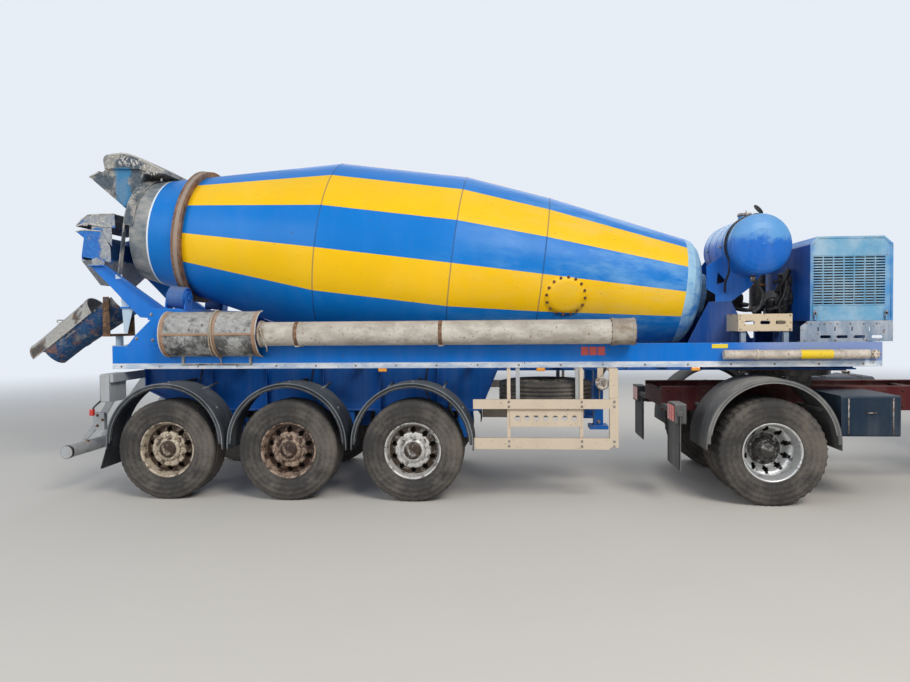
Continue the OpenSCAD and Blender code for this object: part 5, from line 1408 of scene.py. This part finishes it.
@drawn_by("bumper_caps", "trailer", black_hose)
def bumper_caps(made):
    for sign in (-1, 1):
        turned(made, axis_matrix(at_trailer(-3720, 1160 * sign, 495), (0, sign, 0)),
               [(0.0685, 0), (0.0715, 0.002), (0.0715, 0.036), (0.060, 0.0395), (tip, 0.0395)], 32)
        pipe(made, trailer_points((-3330, 1195 * sign, 1040), (-3390, 1205 * sign, 985),
                                  (-3410, 1215 * sign, 945)), 0.010, 8)


@drawn_by("stalk_lamps", "trailer", reflecting("marker_red", (0.62, 0.03, 0.02), 0.010))
def stalk_lamps(made):
    for sign in (-1, 1):
        block_at(made, at_trailer(-3412, 1213 * sign, 925), (0.022, 0.022, 0.035), 0.008)


plate_white, tree, shader = new_material("plate_white", roughness=0.35)
smut = steps(cloud(place(tree), 0.08, 6), 0.45, 0.75)
show(shader, two_colours(smut, (0.78, 0.78, 0.76), (0.50, 0.47, 0.42)))


@drawn_by("blank_plate", "trailer", plate_white)
def blank_plate(made):
    soft_block(made, at_trailer(-3340, -270, 1240), at_trailer(-3333, 270, 1355), 0.002)


@drawn_by("strut_bolts", "trailer", clamp_rust)
def strut_bolts(made):
    for sign in (-1, 1):
        for x, z in ((-3560, 735), (-3500, 800), (-3560, 850), (-3690, 560)):
            at = at_trailer(x, 881 * sign if x > -3600 else 852 * sign, z)
            hex_bolt(made, at, (0, sign, 0), 0.013, 0.012)
        for x, z in ((-3210, 1160), (-3210, 1230)):
            hex_bolt(made, at_trailer(x, 456 * sign, z), (0, sign, 0), 0.013, 0.012)


# Landing legs: two square legs that are wound down by hand. A cross rod joins them, a crank sits on
# the rod's right-hand end, and bolts hold each leg and its foot.
@drawn_by("leg_fittings", "trailer", zinc_bolt)
def leg_fittings(made):
    for sign in (-1, 1):
        hex_bolt(made, at_trailer(1980, 511 * sign, 740), (0, sign, 0), 0.018, 0.014)
        for z in (900, 1200):
            hex_bolt(made, at_trailer(1950, 511 * sign, z), (0, sign, 0), 0.012, 0.010)
            hex_bolt(made, at_trailer(2010, 511 * sign, z), (0, sign, 0), 0.012, 0.010)
    pipe(made, trailer_points((1980, -508, 1110), (1980, -560, 1110)), 0.016, 10, smooth=False)
    pipe(made, trailer_points((1980, -556, 1110), (1980, -568, 1096), (1980, -570, 960), (1980, -582, 944),
                              (1980, -640, 944)), 0.010, 10)
    pipe(made, trailer_points((1980, -390, 1110), (1980, 390, 1110)), 0.014, 10, smooth=False)


# Wheels: ribbed wide singles on the trailer, blocky twins behind the cab; deep steel discs with round
# vents, studs, a greasy hub and a dark brake drum behind
def lathe(made, outline, segments, radius_at=None, dark=False):
    """Turns an outline of (radius, along) round the wheel's axis, which is Y and points outwards at -Y."""
    rings = []
    for step in range(segments):
        a = math.tau * step / segments
        ring = []
        for number, (r, along) in enumerate(outline):
            r = radius_at(number, step, r) if radius_at else r
            ring.append(made.verts.new((r * math.cos(a), -along, r * math.sin(a))))
        rings.append(ring)
    for step in range(segments):
        one, two = rings[step], rings[(step + 1) % segments]
        for k in range(len(outline) - 1):
            face = made.faces.new((one[k], one[k + 1], two[k + 1], two[k]))
            face.smooth = True
            face.material_index = 1 if dark else 0


bead_r = 0.285


def tyre_mesh(name, r, w, grooves, blocks):
    half, mid = w / 2, (r + bead_r) / 2
    wall = [(bead_r, -half * 0.72), (bead_r + 0.016, -half * 0.84), (bead_r + 0.022, -half * 0.86),
            (bead_r + 0.028, -half * 0.85), (bead_r + 0.06, -half * 0.95), (mid - 0.01, -half),
            (mid, -half), (mid + 0.01, -half * 0.995), (r - 0.075, -half * 0.965),
            (r - 0.07, -half * 0.975), (r - 0.062, -half * 0.955), (r - 0.03, -half * 0.90),
            (r - 0.012, -half * 0.865), (r - 0.003, -half * 0.80)]
    tread = []
    for groove in grooves:
        tread += [(r, groove * half - 0.009), (r - 0.011, groove * half - 0.006),
                  (r - 0.011, groove * half + 0.006), (r, groove * half + 0.009)]
    outline = wall + tread + [(a, -b) for a, b in reversed(wall)]
    walls, ribs = len(wall), len(tread)

    def tread_radius(number, step, radius):
        shoulder = walls - 3 <= number < walls or walls + ribs <= number < walls + ribs + 3
        in_tread = walls - 1 <= number <= walls + ribs
        if blocks and in_tread and (step + (number // 2) % 2) % 4 == 0:
            return radius - 0.012
        if shoulder and not blocks and step % 3 == 0:
            return radius - 0.006
        if shoulder and blocks and step % 4 < 2:
            return radius - 0.010
        return radius

    return mesh_from(name, lambda made: lathe(made, outline, 168 if blocks else 144, tread_radius))


def wheel_radius(tree):
    parts = split(place(tree))
    square = plus(maths("POWER", parts["X"], 2.0), maths("POWER", parts["Z"], 2.0))
    return maths("SQRT", square)


rubber, tree, shader = new_material("tyre_rubber", roughness=0.85)
grain = cloud(place(tree), 0.03, 5)
dusted = steps(plus(times(cloud(place(tree), 0.35, 6, 0.55), 0.8), times(grain, 0.25)), 0.30, 0.76)
# Rings round the sidewall are painted paler along with the dust: painted highlights on its ribs.
ring_highlights = maths("SINE", times(wheel_radius(tree), 118.0))
lighter_parts = steps(plus(times(ring_highlights, 0.07), times(dusted, 0.90)), 0.06, 0.92)
show(shader, two_colours(lighter_parts, (0.034, 0.031, 0.029), (0.140, 0.120, 0.100)))
bump(shader, grain, 0.0012)


def ring_of(made, count, radius, build, start=0.0):
    for k in range(count):
        turn = Matrix.Rotation(-start - math.tau * k / count, 4, "Y")
        build(made, turn @ Matrix.Translation((radius, 0, 0)))


def stud(made, matrix, radius, low, high, sides=6):
    """A prism along -Y, from low to high."""
    rings = []
    for y in (low, high):
        rings.append([made.verts.new(matrix @ Vector((radius * math.cos(a), -y, radius * math.sin(a))))
                      for a in around(sides)])
    for k in range(sides):
        n = (k + 1) % sides
        made.faces.new((rings[0][k], rings[0][n], rings[1][n], rings[1][k])).smooth = sides > 8
    made.faces.new(rings[1])
    made.faces.new(list(reversed(rings[0])))


def rim_mesh(name, w, depth, rise, hub_r, hub_out, slope_at=(0.168, 0.238)):
    """Rim, vented disc and hub. The disc's face stands at depth from the tyre's middle and its outer
    part at depth + rise."""
    edge = w * 0.40
    well = [(bead_r + 0.010, -edge), (bead_r - 0.004, -edge + 0.004), (bead_r - 0.012, -edge + 0.02),
            (bead_r - 0.035, -edge * 0.3), (bead_r - 0.035, edge * 0.2), (bead_r - 0.014, edge - 0.04),
            (bead_r - 0.010, edge - 0.012), (bead_r - 0.002, edge - 0.002), (bead_r + 0.008, edge),
            (bead_r + 0.012, edge - 0.004), (bead_r + 0.010, edge - 0.012)]

    def along(r):
        t = min(max((r - slope_at[0]) / (slope_at[1] - slope_at[0]), 0), 1)
        return depth + rise * t * t * (3 - 2 * t)

    def disc(made):
        vents, vent_r, vent_at, segments = 10, 0.029, 0.208, 160
        sheet = 0.012
        rows = [max(hub_r - 0.01, 0.09), 0.150, slope_at[0], vent_at - vent_r - 0.004,
                vent_at - vent_r * 0.55, vent_at, vent_at + vent_r * 0.55, vent_at + vent_r + 0.004,
                bead_r - 0.020]
        for face in (0, 1):
            grid = [[made.verts.new((r * math.cos(a), -along(r) + sheet * face, r * math.sin(a)))
                     for r in rows] for a in around(segments)]
            for k in range(segments):
                n = (k + 1) % segments
                turn = (k + 0.5) / segments * vents % 1.0
                for j in range(len(rows) - 1):
                    r = (rows[j] + rows[j + 1]) / 2
                    if math.hypot((turn - 0.5) * math.tau / vents * r, r - vent_at) < vent_r:
                        continue
                    quad = (grid[k][j], grid[k][j + 1], grid[n][j + 1], grid[n][j])
                    made.faces.new(quad if face else tuple(reversed(quad))).smooth = True

    def wheel_nut(made, at):
        stud(made, at, 0.0165, depth - 0.01, depth + 0.024)
        stud(made, at, 0.011, depth, depth + 0.036, 10)

    def hub_bolt(made, at):
        stud(made, at, 0.008, depth, depth + hub_out * 0.62)

    def build(made):
        lathe(made, well, 96)
        disc(made)
        ring_of(made, 10, 0.150, wheel_nut, math.pi / 10)
        if hub_out:
            lathe(made, [(hub_r, depth - 0.03), (hub_r, depth + hub_out * 0.45),
                         (hub_r - 0.03, depth + hub_out * 0.55), (hub_r * 0.66, depth + hub_out * 0.6),
                         (hub_r * 0.62, depth + hub_out * 0.95), (hub_r * 0.5, depth + hub_out),
                         (tip, depth + hub_out)], 48)
            ring_of(made, 10, hub_r - 0.018, hub_bolt, 0.13)
        inward = min(depth, depth + rise) - 0.035
        lathe(made, [(bead_r - 0.045, inward - 0.02), (bead_r - 0.045, inward), (0.12, inward)], 48,
              dark=True)

    return mesh_from(name, build)


def rim_finish(name, light, dark, grime, zones=(), metallic=0.2, roughness=0.55):
    """Rim paint; zones are (low, high) radii where brake dust and grease have darkened it."""
    made, tree, shader = new_material(name, roughness=roughness, metallic=metallic, Specular_IOR_Level=0.35)
    radius = wheel_radius(tree)
    streaks = cloud(place(tree), 0.07, 8, 0.7)
    dirty = steps(streaks, 0.64 - grime * 0.4, 0.74 - grime * 0.2)
    for low, high in zones:
        inside = times(steps(radius, low, low + 0.012), inverse(steps(radius, high - 0.012, high)))
        dirty = larger(dirty, times(inside, steps(streaks, 0.25, 0.50)))
    show(shader, two_colours(dirty, light, dark))
    bump(shader, cloud(place(tree), 0.012, 4), 0.001)
    return made


drum_dark = rim_finish("brake_drum", (0.020, 0.014, 0.010), (0.05, 0.03, 0.02), 0.5, metallic=0,
                       roughness=0.9)
well_and_hub = ((-0.02, 0.100), (0.178, 0.262))
rim_kinds = {1: rim_finish("rim_beige", (0.56, 0.47, 0.36), (0.050, 0.030, 0.020), 0.50, well_and_hub),
             2: rim_finish("rim_rusty", (0.44, 0.32, 0.24), (0.045, 0.025, 0.018), 0.62, well_and_hub),
             3: rim_finish("rim_silver", (0.60, 0.58, 0.55), (0.060, 0.042, 0.030), 0.40, well_and_hub,
                           metallic=0.3, roughness=0.42),
             "tractor": rim_finish("rim_bright", (0.60, 0.60, 0.59), (0.060, 0.055, 0.050), 0.25,
                                   ((-0.02, 0.172),), metallic=0.5, roughness=0.36)}
tyres = {"wide": tyre_mesh("wide_tyre", 0.526, 0.385, (-0.50, -0.17, 0.17, 0.50), False),
         "drive": tyre_mesh("drive_tyre", 0.532, 0.300, (-0.52, -0.26, 0.0, 0.26, 0.52), True),
         "front": tyre_mesh("front_tyre", 0.532, 0.300, (-0.50, -0.17, 0.17, 0.50), False),
         "spare": tyre_mesh("spare_tyre", 0.496, 0.240, (-0.50, -0.17, 0.17, 0.50), False)}
rims = {"wide": rim_mesh("wide_rim", 0.385, 0.104, -0.040, 0.125, 0.046),
        "drive": rim_mesh("drive_rim", 0.300, -0.1585 + 0.020, 0.100, 0.120, 0.130),
        "front": rim_mesh("front_rim", 0.300, 0.080, -0.040, 0.115, 0.030),
        "spare": rim_mesh("spare_rim", 0.240, 0.040, -0.030, 0.110, 0.0)}
for made in tyres.values():
    made.materials.append(rubber)


def put(name, mesh, matrix, body, finish=None):
    made = bpy.data.objects.new(name, mesh.copy() if finish else mesh)
    if finish:
        made.data.materials.append(finish)
        made.data.materials.append(drum_dark)
    made.matrix_world = matrix
    scene.collection.objects.link(made)
    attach(made, body)
    return made


def wheel(name, kind, centre, right, body, node, finish):
    at = Matrix.Translation(centre) @ (Matrix.Identity(4) if right else Matrix.Rotation(math.pi, 4, "Z"))
    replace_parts(put(f"{name}_tyre", tyres[kind], at, body), node)
    put(f"{name}_rim", rims[kind], at, body, finish)


twin_half_gap = 0.1725
for hand, out in hands:
    for n in (1, 2, 3):
        body = f"wheel_{n}_{hand}"
        wheel(body, "wide", middle(body), out < 0, body, body, rim_kinds[n])
    body = f"front_wheel_{hand}"
    wheel(body, "front", middle(body), out < 0, body, body, rim_kinds["tractor"])
    body = f"twin_wheel_{hand}"
    wheel(f"outer_{hand}", "drive", middle(body) + Vector((0, out * twin_half_gap, 0)), out < 0, body, body,
          rim_kinds["tractor"])
    wheel(f"inner_{hand}", "drive", middle(body) - Vector((0, out * twin_half_gap, 0)), out > 0, body, body,
          rim_kinds["tractor"])
spare_at = Matrix.Translation(middle("spare_wheel")) @ Matrix.Rotation(math.pi / 2, 4, "X")
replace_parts(put("spare_tyre", tyres["spare"], spare_at, "trailer"), "spare_wheel")
put("spare_rim", rims["spare"], spare_at, "trailer", rim_kinds[1])


# Tractor chassis and fifth wheel: maroon pressed rails with two rows of bolts, a greasy cast coupling
# plate on top, and three steel air pipes that rise behind the cab and bend down to the frame.
kingpin_x = joints["articulation"]["pos_m"][0]


def at_tractor(x, y, z):
    """A point in metres from stations in mm behind or before the pivot."""
    return Vector((kingpin_x + x / 1000, y / 1000, z / 1000))


maroon = painted("maroon", (0.090, 0.014, 0.016), dust=(0.26, 0.20, 0.17), dust_amount=0.45,
                 chip=(0.05, 0.03, 0.02), chips=0.2, gloss=0.55, coat=0)
dress(maroon, "tractor_frame")
grease, tree, shader = new_material("grease", roughness=0.32, metallic=0.4)
smeared = steps(cloud(place(tree), 0.09, 6, 0.65), 0.4, 0.65)
show(shader, two_colours(smeared, (0.018, 0.016, 0.015), (0.085, 0.070, 0.058)))
bump(shader, smeared, 0.002)
dress(grease, "fifth_wheel")


def tractor_points(*stations):
    return [at_tractor(*s) for s in stations]


@drawn_by("frame_bolts", "tractor", maroon)
def frame_bolts(made):
    for sign in (-1, 1):
        for x in range(-1400, 4100, 190):
            for z in (905, 1075):
                hex_bolt(made, at_tractor(x, 451 * sign, z), (0, sign, 0), 0.011, 0.008)


@drawn_by("gladhand_pipes", "tractor", black_hose)
def gladhand_pipes(made):
    for y in (-160, -60, 60):
        pipe(made, tractor_points((1480, y, 1150), (1500, y, 1250), (1600, y, 1330), (1850, y * 0.8, 1180),
                                  (2100, y * 0.8, 1110)), 0.010, 8)


# Tractor mudguards: dark grey moulded shells over the twin wheels, with a light lip and bolts on the
# crown. Each carries a lamp in three parts and a plain rubber flap with a rib down either edge.
guard_dark = dusty_plastic("guard_dark", (0.085, 0.088, 0.090), dust=(0.34, 0.32, 0.29), amount=0.62)
dress(guard_dark, "tractor_mudguards")
lip_light = dusty_plastic("lip_light", (0.26, 0.26, 0.25), dust=(0.42, 0.40, 0.37), amount=0.5)
twin_x, twin_z, twin_r = -560, 620, 640


@drawn_by("twin_lips", "tractor", lip_light)
def twin_lips(made):
    for sign in (-1, 1):
        for r in (twin_r - 4, twin_r - 34):
            arc = [at_tractor(twin_x + r * math.cos(a), 1235 * sign, twin_z + r * math.sin(a))
                   for a in sweep(8, 172, 40)]
            pipe(made, arc, 0.006, 8, smooth=False)
        for a in map(math.radians, (60, 90, 120)):
            way = (math.cos(a), 0, math.sin(a))
            for y in (760, 1080):
                at = at_tractor(twin_x, y * sign, twin_z) + Vector(way) * 0.642
                hex_bolt(made, at, way, 0.012, 0.006)


tail_red, tree, shader = new_material("tail_red", roughness=0.2, coat=0.5)
parts = split(place(tree))
off_centre = maths("ABSOLUTE", parts["Y"])
amber_from_y, white_to_y = 1.052, 0.952
amber_end = is_above(off_centre, amber_from_y)
white_end = is_below(off_centre, white_to_y)
lens = two_colours(amber_end, (0.78, 0.006, 0.010), (0.80, 0.05, 0.01))
show(shader, two_colours(white_end, lens, (0.66, 0.06, 0.06)))


@drawn_by("twin_lamps", "tractor", tail_red)
def twin_lamps(made):
    for sign in (-1, 1):
        for y in (1100, 1000, 900):
            block_at(made, at_tractor(-1500, y * sign, 908), (0.004, 0.043, 0.080), 0.003)
            for k in range(7):
                block_at(made, at_tractor(-1504, y * sign, 848 + 20 * k), (0.002, 0.038, 0.003), 0.001)


@drawn_by("flap_ribs", "tractor", black_hose)
def flap_ribs(made):
    for sign in (-1, 1):
        for y in (700, 1200):
            rib = tractor_points((-1463, y * sign, 360), (-1463, y * sign, 885))
            pipe(made, rib, 0.005, 6, smooth=False)
        for k in range(5):
            hex_bolt(made, at_tractor(-1461, (740 + 105 * k) * sign, 880), (-1, 0, 0), 0.010, 0.006)


# Side boxes: a battery box on the right and a fuel tank on the left, both in dark grey-blue paint. The
# tank hangs in steel straps under a turned cap, and the box has a grab handle and two upright ribs.
tank_grey = painted("side_tank_paint", (0.010, 0.024, 0.046), dust=(0.26, 0.26, 0.26), dust_amount=0.22,
                    chip=(0.05, 0.04, 0.03), chips=0.1, gloss=0.5, coat=0.1)
dress(tank_grey, "side_tanks")


@drawn_by("tank_straps", "tractor", zinc_bolt)
def tank_straps(made):
    for x in (250, 670, 1090):
        loop = tractor_points((x, 1183, 660), (x, 1183, 1132), (x, 1166, 1152), (x, 480, 1153))
        for k in (-16, 16):
            pipe(made, [p + Vector((k / 1000, 0, 0)) for p in loop], 0.004, 6, smooth=False)
    turned(made, axis_matrix(at_tractor(1150, 1000, 1150), (0, 0, 1)),
           [(0.0405, -0.005), (0.0405, 0.012), (0.052, 0.014), (0.052, 0.034), (0.046, 0.038),
            (tip, 0.038)], 32)
    for x in (160, 580):
        pipe(made, tractor_points((x, -1201, 720), (x, -1201, 1070)), 0.008, 8, smooth=False)
    pipe(made, tractor_points((330, -1203, 930), (330, -1223, 930), (410, -1223, 930), (410, -1203, 930)),
         0.006, 8, smooth=False)


# Front bumper: a dark plastic moulding below the cab with a fluted headlamp set in each recess. The
# cab steps behind it have raised treads of galvanised sheet.
dress(dusty_plastic("bumper_grey", (0.035, 0.038, 0.042), amount=0.4), "front_bumper", "dashboard")
lamp_clear, tree, shader = new_material("lamp_clear", roughness=0.08, coat=0.6)
flutes = add_node(tree, "TexWave", {"Vector": place(tree), "Scale": 30.0}, bands_direction="Y").outputs[0]
show(shader, two_colours(flutes, (0.50, 0.52, 0.54), (0.80, 0.82, 0.84)))
bump(shader, flutes, 0.001)


@drawn_by("headlamps", "tractor", lamp_clear)
def headlamps(made):
    for sign in (-1, 1):
        y0, y1 = sorted((740 * sign, 1110 * sign))
        soft_block(made, at_tractor(4412, y0, 574), at_tractor(4432, y1, 716), 0.008)


@drawn_by("step_treads", "tractor", zinc_bolt)
def step_treads(made):
    for sign in (-1, 1):
        for z in (380, 600):
            for k in range(6):
                block_at(made, at_tractor(3985 + 38 * k, 1170 * sign, z + 21), (0.010, 0.055, 0.003), 0.001)


# Cab: a welded shell and doors in pale grey paint with dusty sills. The panes sit in black seals, the
# grille has upright ribs, and wipers, roof lamps, door handles and mirror faces are fixed on.
cab_paint = painted("cab_paint", (0.60, 0.61, 0.62), dust=(0.40, 0.35, 0.30), dust_amount=0.3,
                    chip=(0.20, 0.14, 0.11), chips=0.08, gloss=0.30, coat=0.3)
dress(cab_paint, "cab_shell", "door_right", "door_left")
glass, tree, shader = new_material("tinted_glass", roughness=0.03, IOR=1.45, Transmission_Weight=0.9)
shader.inputs["Base Color"].default_value = (0.55, 0.64, 0.66, 1)
smear = cloud(place(tree), 0.3)
tree.links.new(add_node(tree, "MapRange", {"Value": smear, "To Min": 0.02, "To Max": 0.09}).outputs[0],
               shader.inputs["Roughness"])
dress(glass, "cab_glass", "door_glass_right", "door_glass_left")


def frame_of(made, corners, radius):
    pipe(made, corners + [corners[0]], radius, 8, smooth=False)


@drawn_by("cab_seals", "cab", black_hose)
def cab_seals(made):
    _, glass_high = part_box("cab_glass")
    front = glass_high.x - 0.004
    frame_of(made, [Vector((front, y / 1000, z / 1000))
                    for y, z in ((-1080, 1880), (-1080, 2620), (1080, 2620), (1080, 1880))], 0.010)
    for sign in (-1, 1):
        hinge = Vector((glass_high.x + 0.004, sign * 0.06, 1.872))
        pipe(made, [hinge, hinge + Vector((0.006, sign * 0.46, 0.10))], 0.006, 6, smooth=False)
        pipe(made, [hinge + Vector((0.006, sign * 0.20, 0.04)), hinge + Vector((0.006, sign * 0.86, 0.20))],
             0.008, 6, smooth=False)


@drawn_by("grille_ribs", "cab", black_hose)
def grille_ribs(made):
    for z in (1120, 1210, 1300, 1390, 1480):
        for y in range(-780, 800, 60):
            block_at(made, at_tractor(4366, y, z + 26), (0.012, 0.004, 0.024), 0.001)


_, cab_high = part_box("cab_shell")


@drawn_by("roof_lamps", "cab", reflecting("roof_amber", (0.88, 0.30, 0.02), 0.012))
def roof_lamps(made):
    for y in (-900, -450, 0, 450, 900):
        block_at(made, at_tractor(4150, y, cab_high.z * 1000 - 16), (0.035, 0.060, 0.014), 0.010)


for hand, sign in hands:
    body = f"door_{hand}"

    @drawn_by(f"door_fits_{hand}", body, black_hose)
    def door_fits(made):
        window = [at_tractor(x, 1224 * sign, z)
                  for x, z in ((3240, 1900), (3240, 2690), (4010, 2690), (4010, 1900))]
        frame_of(made, window, 0.009)
        grip = tractor_points((3210, 1238 * sign, 1650), (3215, 1262 * sign, 1655),
                              (3345, 1262 * sign, 1655), (3350, 1238 * sign, 1650))
        pipe(made, grip, 0.010, 10)
        for z in (1400, 2500):
            pipe(made, tractor_points((4108, 1238 * sign, z - 60), (4108, 1238 * sign, z + 60)), 0.014, 10,
                 smooth=False)

    def mirror_face(made):
        y0, y1 = sorted((1412 * sign, 1608 * sign))
        soft_block(made, at_tractor(4006, y0, 2070), at_tractor(4010, y1, 2540), 0.001)

    mirror, tree, shader = new_material(f"mirror_{hand}", roughness=0.04, metallic=1.0)
    show(shader, two_colours(cloud(place(tree), 0.2), (0.70, 0.72, 0.74), (0.62, 0.63, 0.64)))
    piece(f"mirror_face_{hand}", body, mirror, mirror_face)


# Seats: crowned cushions, backs and headrests in woven cloth on plastic bases with a ribbed bellows
# and two headrest rods each. Belts hang beside them, and dials sit in the dashboard ahead.
def seat_bases(made):
    for y in (-560, 560):
        soft_block(made, at_tractor(2960, y - 190, 1240), at_tractor(3360, y + 190, 1300), 0.012)
        for k in range(4):
            soft_block(made, at_tractor(2985, y - 165, 1300 + 45 * k),
                       at_tractor(3335, y + 165, 1340 + 45 * k), 0.014)
        soft_block(made, at_tractor(2915, y - 235, 1480), at_tractor(3405, y + 235, 1524), 0.010)
        for across in (-50, 50):
            pipe(made, tractor_points((2886, y + across, 2180), (2882, y + across, 2290)), 0.007, 8,
                 smooth=False)


seat_plastic = dusty_plastic("seat_base", (0.030, 0.030, 0.032), amount=0.15)
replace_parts(piece("seat_bases", "cab", seat_plastic, seat_bases), "seats")
cloth, tree, shader = new_material("seat_cloth", roughness=0.95)
weave = add_node(tree, "TexWave", {"Vector": place(tree), "Scale": 160.0, "Distortion": 2.0}).outputs[0]
stripe = steps(add_node(tree, "TexWave", {"Vector": place(tree), "Scale": 9.0},
                        bands_direction="Y").outputs[0], 0.7, 0.8)
woven = two_colours(weave, (0.035, 0.040, 0.055), (0.075, 0.085, 0.11))
show(shader, two_colours(stripe, woven, (0.20, 0.20, 0.22)))
shader.inputs["Sheen Weight"].default_value = 0.4
bump(shader, weave, 0.0006)


def pad(name, low, high, turn=0.0):
    """A crowned cushion between two corners in tractor stations, leaned back round its lower edge."""
    size = [(b - a) / 1000 for a, b in zip(low, high)]
    made = bmesh.new()
    bmesh.ops.create_cube(made, size=1.0)
    bmesh.ops.subdivide_edges(made, edges=made.edges[:], cuts=11, use_grid_fill=True)
    for vert in made.verts:
        crown = [1 - (2 * c) ** 2 for c in vert.co]
        near = [abs(c) > 0.46 for c in vert.co]
        pull = 0.90 if sum(near) > 1 else 1.0
        swell = (0.86 + 0.14 * max(crown[1], 0) * max(crown[0], 0)) if size[2] < size[0] else 1.0
        thick = (0.80 + 0.20 * max(crown[1], 0) * max(crown[2], 0)) if size[0] <= size[2] else 1.0
        vert.co = Vector((vert.co.x * thick * size[0] * pull, vert.co.y * size[1] * pull,
                          vert.co.z * swell * size[2] * pull))
    for face in made.faces:
        face.smooth = True
    mesh = bpy.data.meshes.new(name)
    made.to_mesh(mesh)
    made.free()
    mesh.materials.append(cloth)
    shown = bpy.data.objects.new(name, mesh)
    centre = (at_tractor(*low) + at_tractor(*high)) / 2
    pivot = Vector((centre.x, centre.y, at_tractor(*low).z))
    leaned = Matrix.Rotation(turn, 4, "Y")
    shown.matrix_world = Matrix.Translation(pivot) @ leaned @ Matrix.Translation(centre - pivot)
    scene.collection.objects.link(shown)
    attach(shown, "cab")
    return shown


for hand, y in (("right", -560), ("left", 560)):
    pad(f"seat_cushion_{hand}", (2900, y - 245, 1525), (3415, y + 245, 1668))
    pad(f"seat_back_{hand}", (2893, y - 235, 1665), (3013, y + 235, 2245), -math.radians(6))
    pad(f"seat_headrest_{hand}", (2835, y - 125, 2262), (2925, y + 125, 2410), -math.radians(6))


@drawn_by("belts", "cab", black_hose)
def belts(made):
    for y, side in ((-560, -1), (560, 1)):
        pipe(made, tractor_points((2960, y + side * 262, 1540), (2940, y + side * 268, 1700),
                                  (2900, y + side * 262, 1960), (2860, y + side * 250, 2200)), 0.010, 6)
        pipe(made, tractor_points((3330, y - side * 255, 1560), (3355, y - side * 262, 1640)), 0.012, 8)


@drawn_by("dials", "cab", black_hose)
def dials(made):
    for y in (470, 650):
        turned(made, axis_matrix(at_tractor(3958, y, 1710), (-1, 0, 0.2)),
               [(tip, 0.0), (0.050, 0.0), (0.052, 0.006), (0.058, 0.006), (0.060, 0.0)], 28)
    for k in range(5):
        block_at(made, at_tractor(3958, 60 + 60 * k, 1640), (0.004, 0.020, 0.014), 0.003)
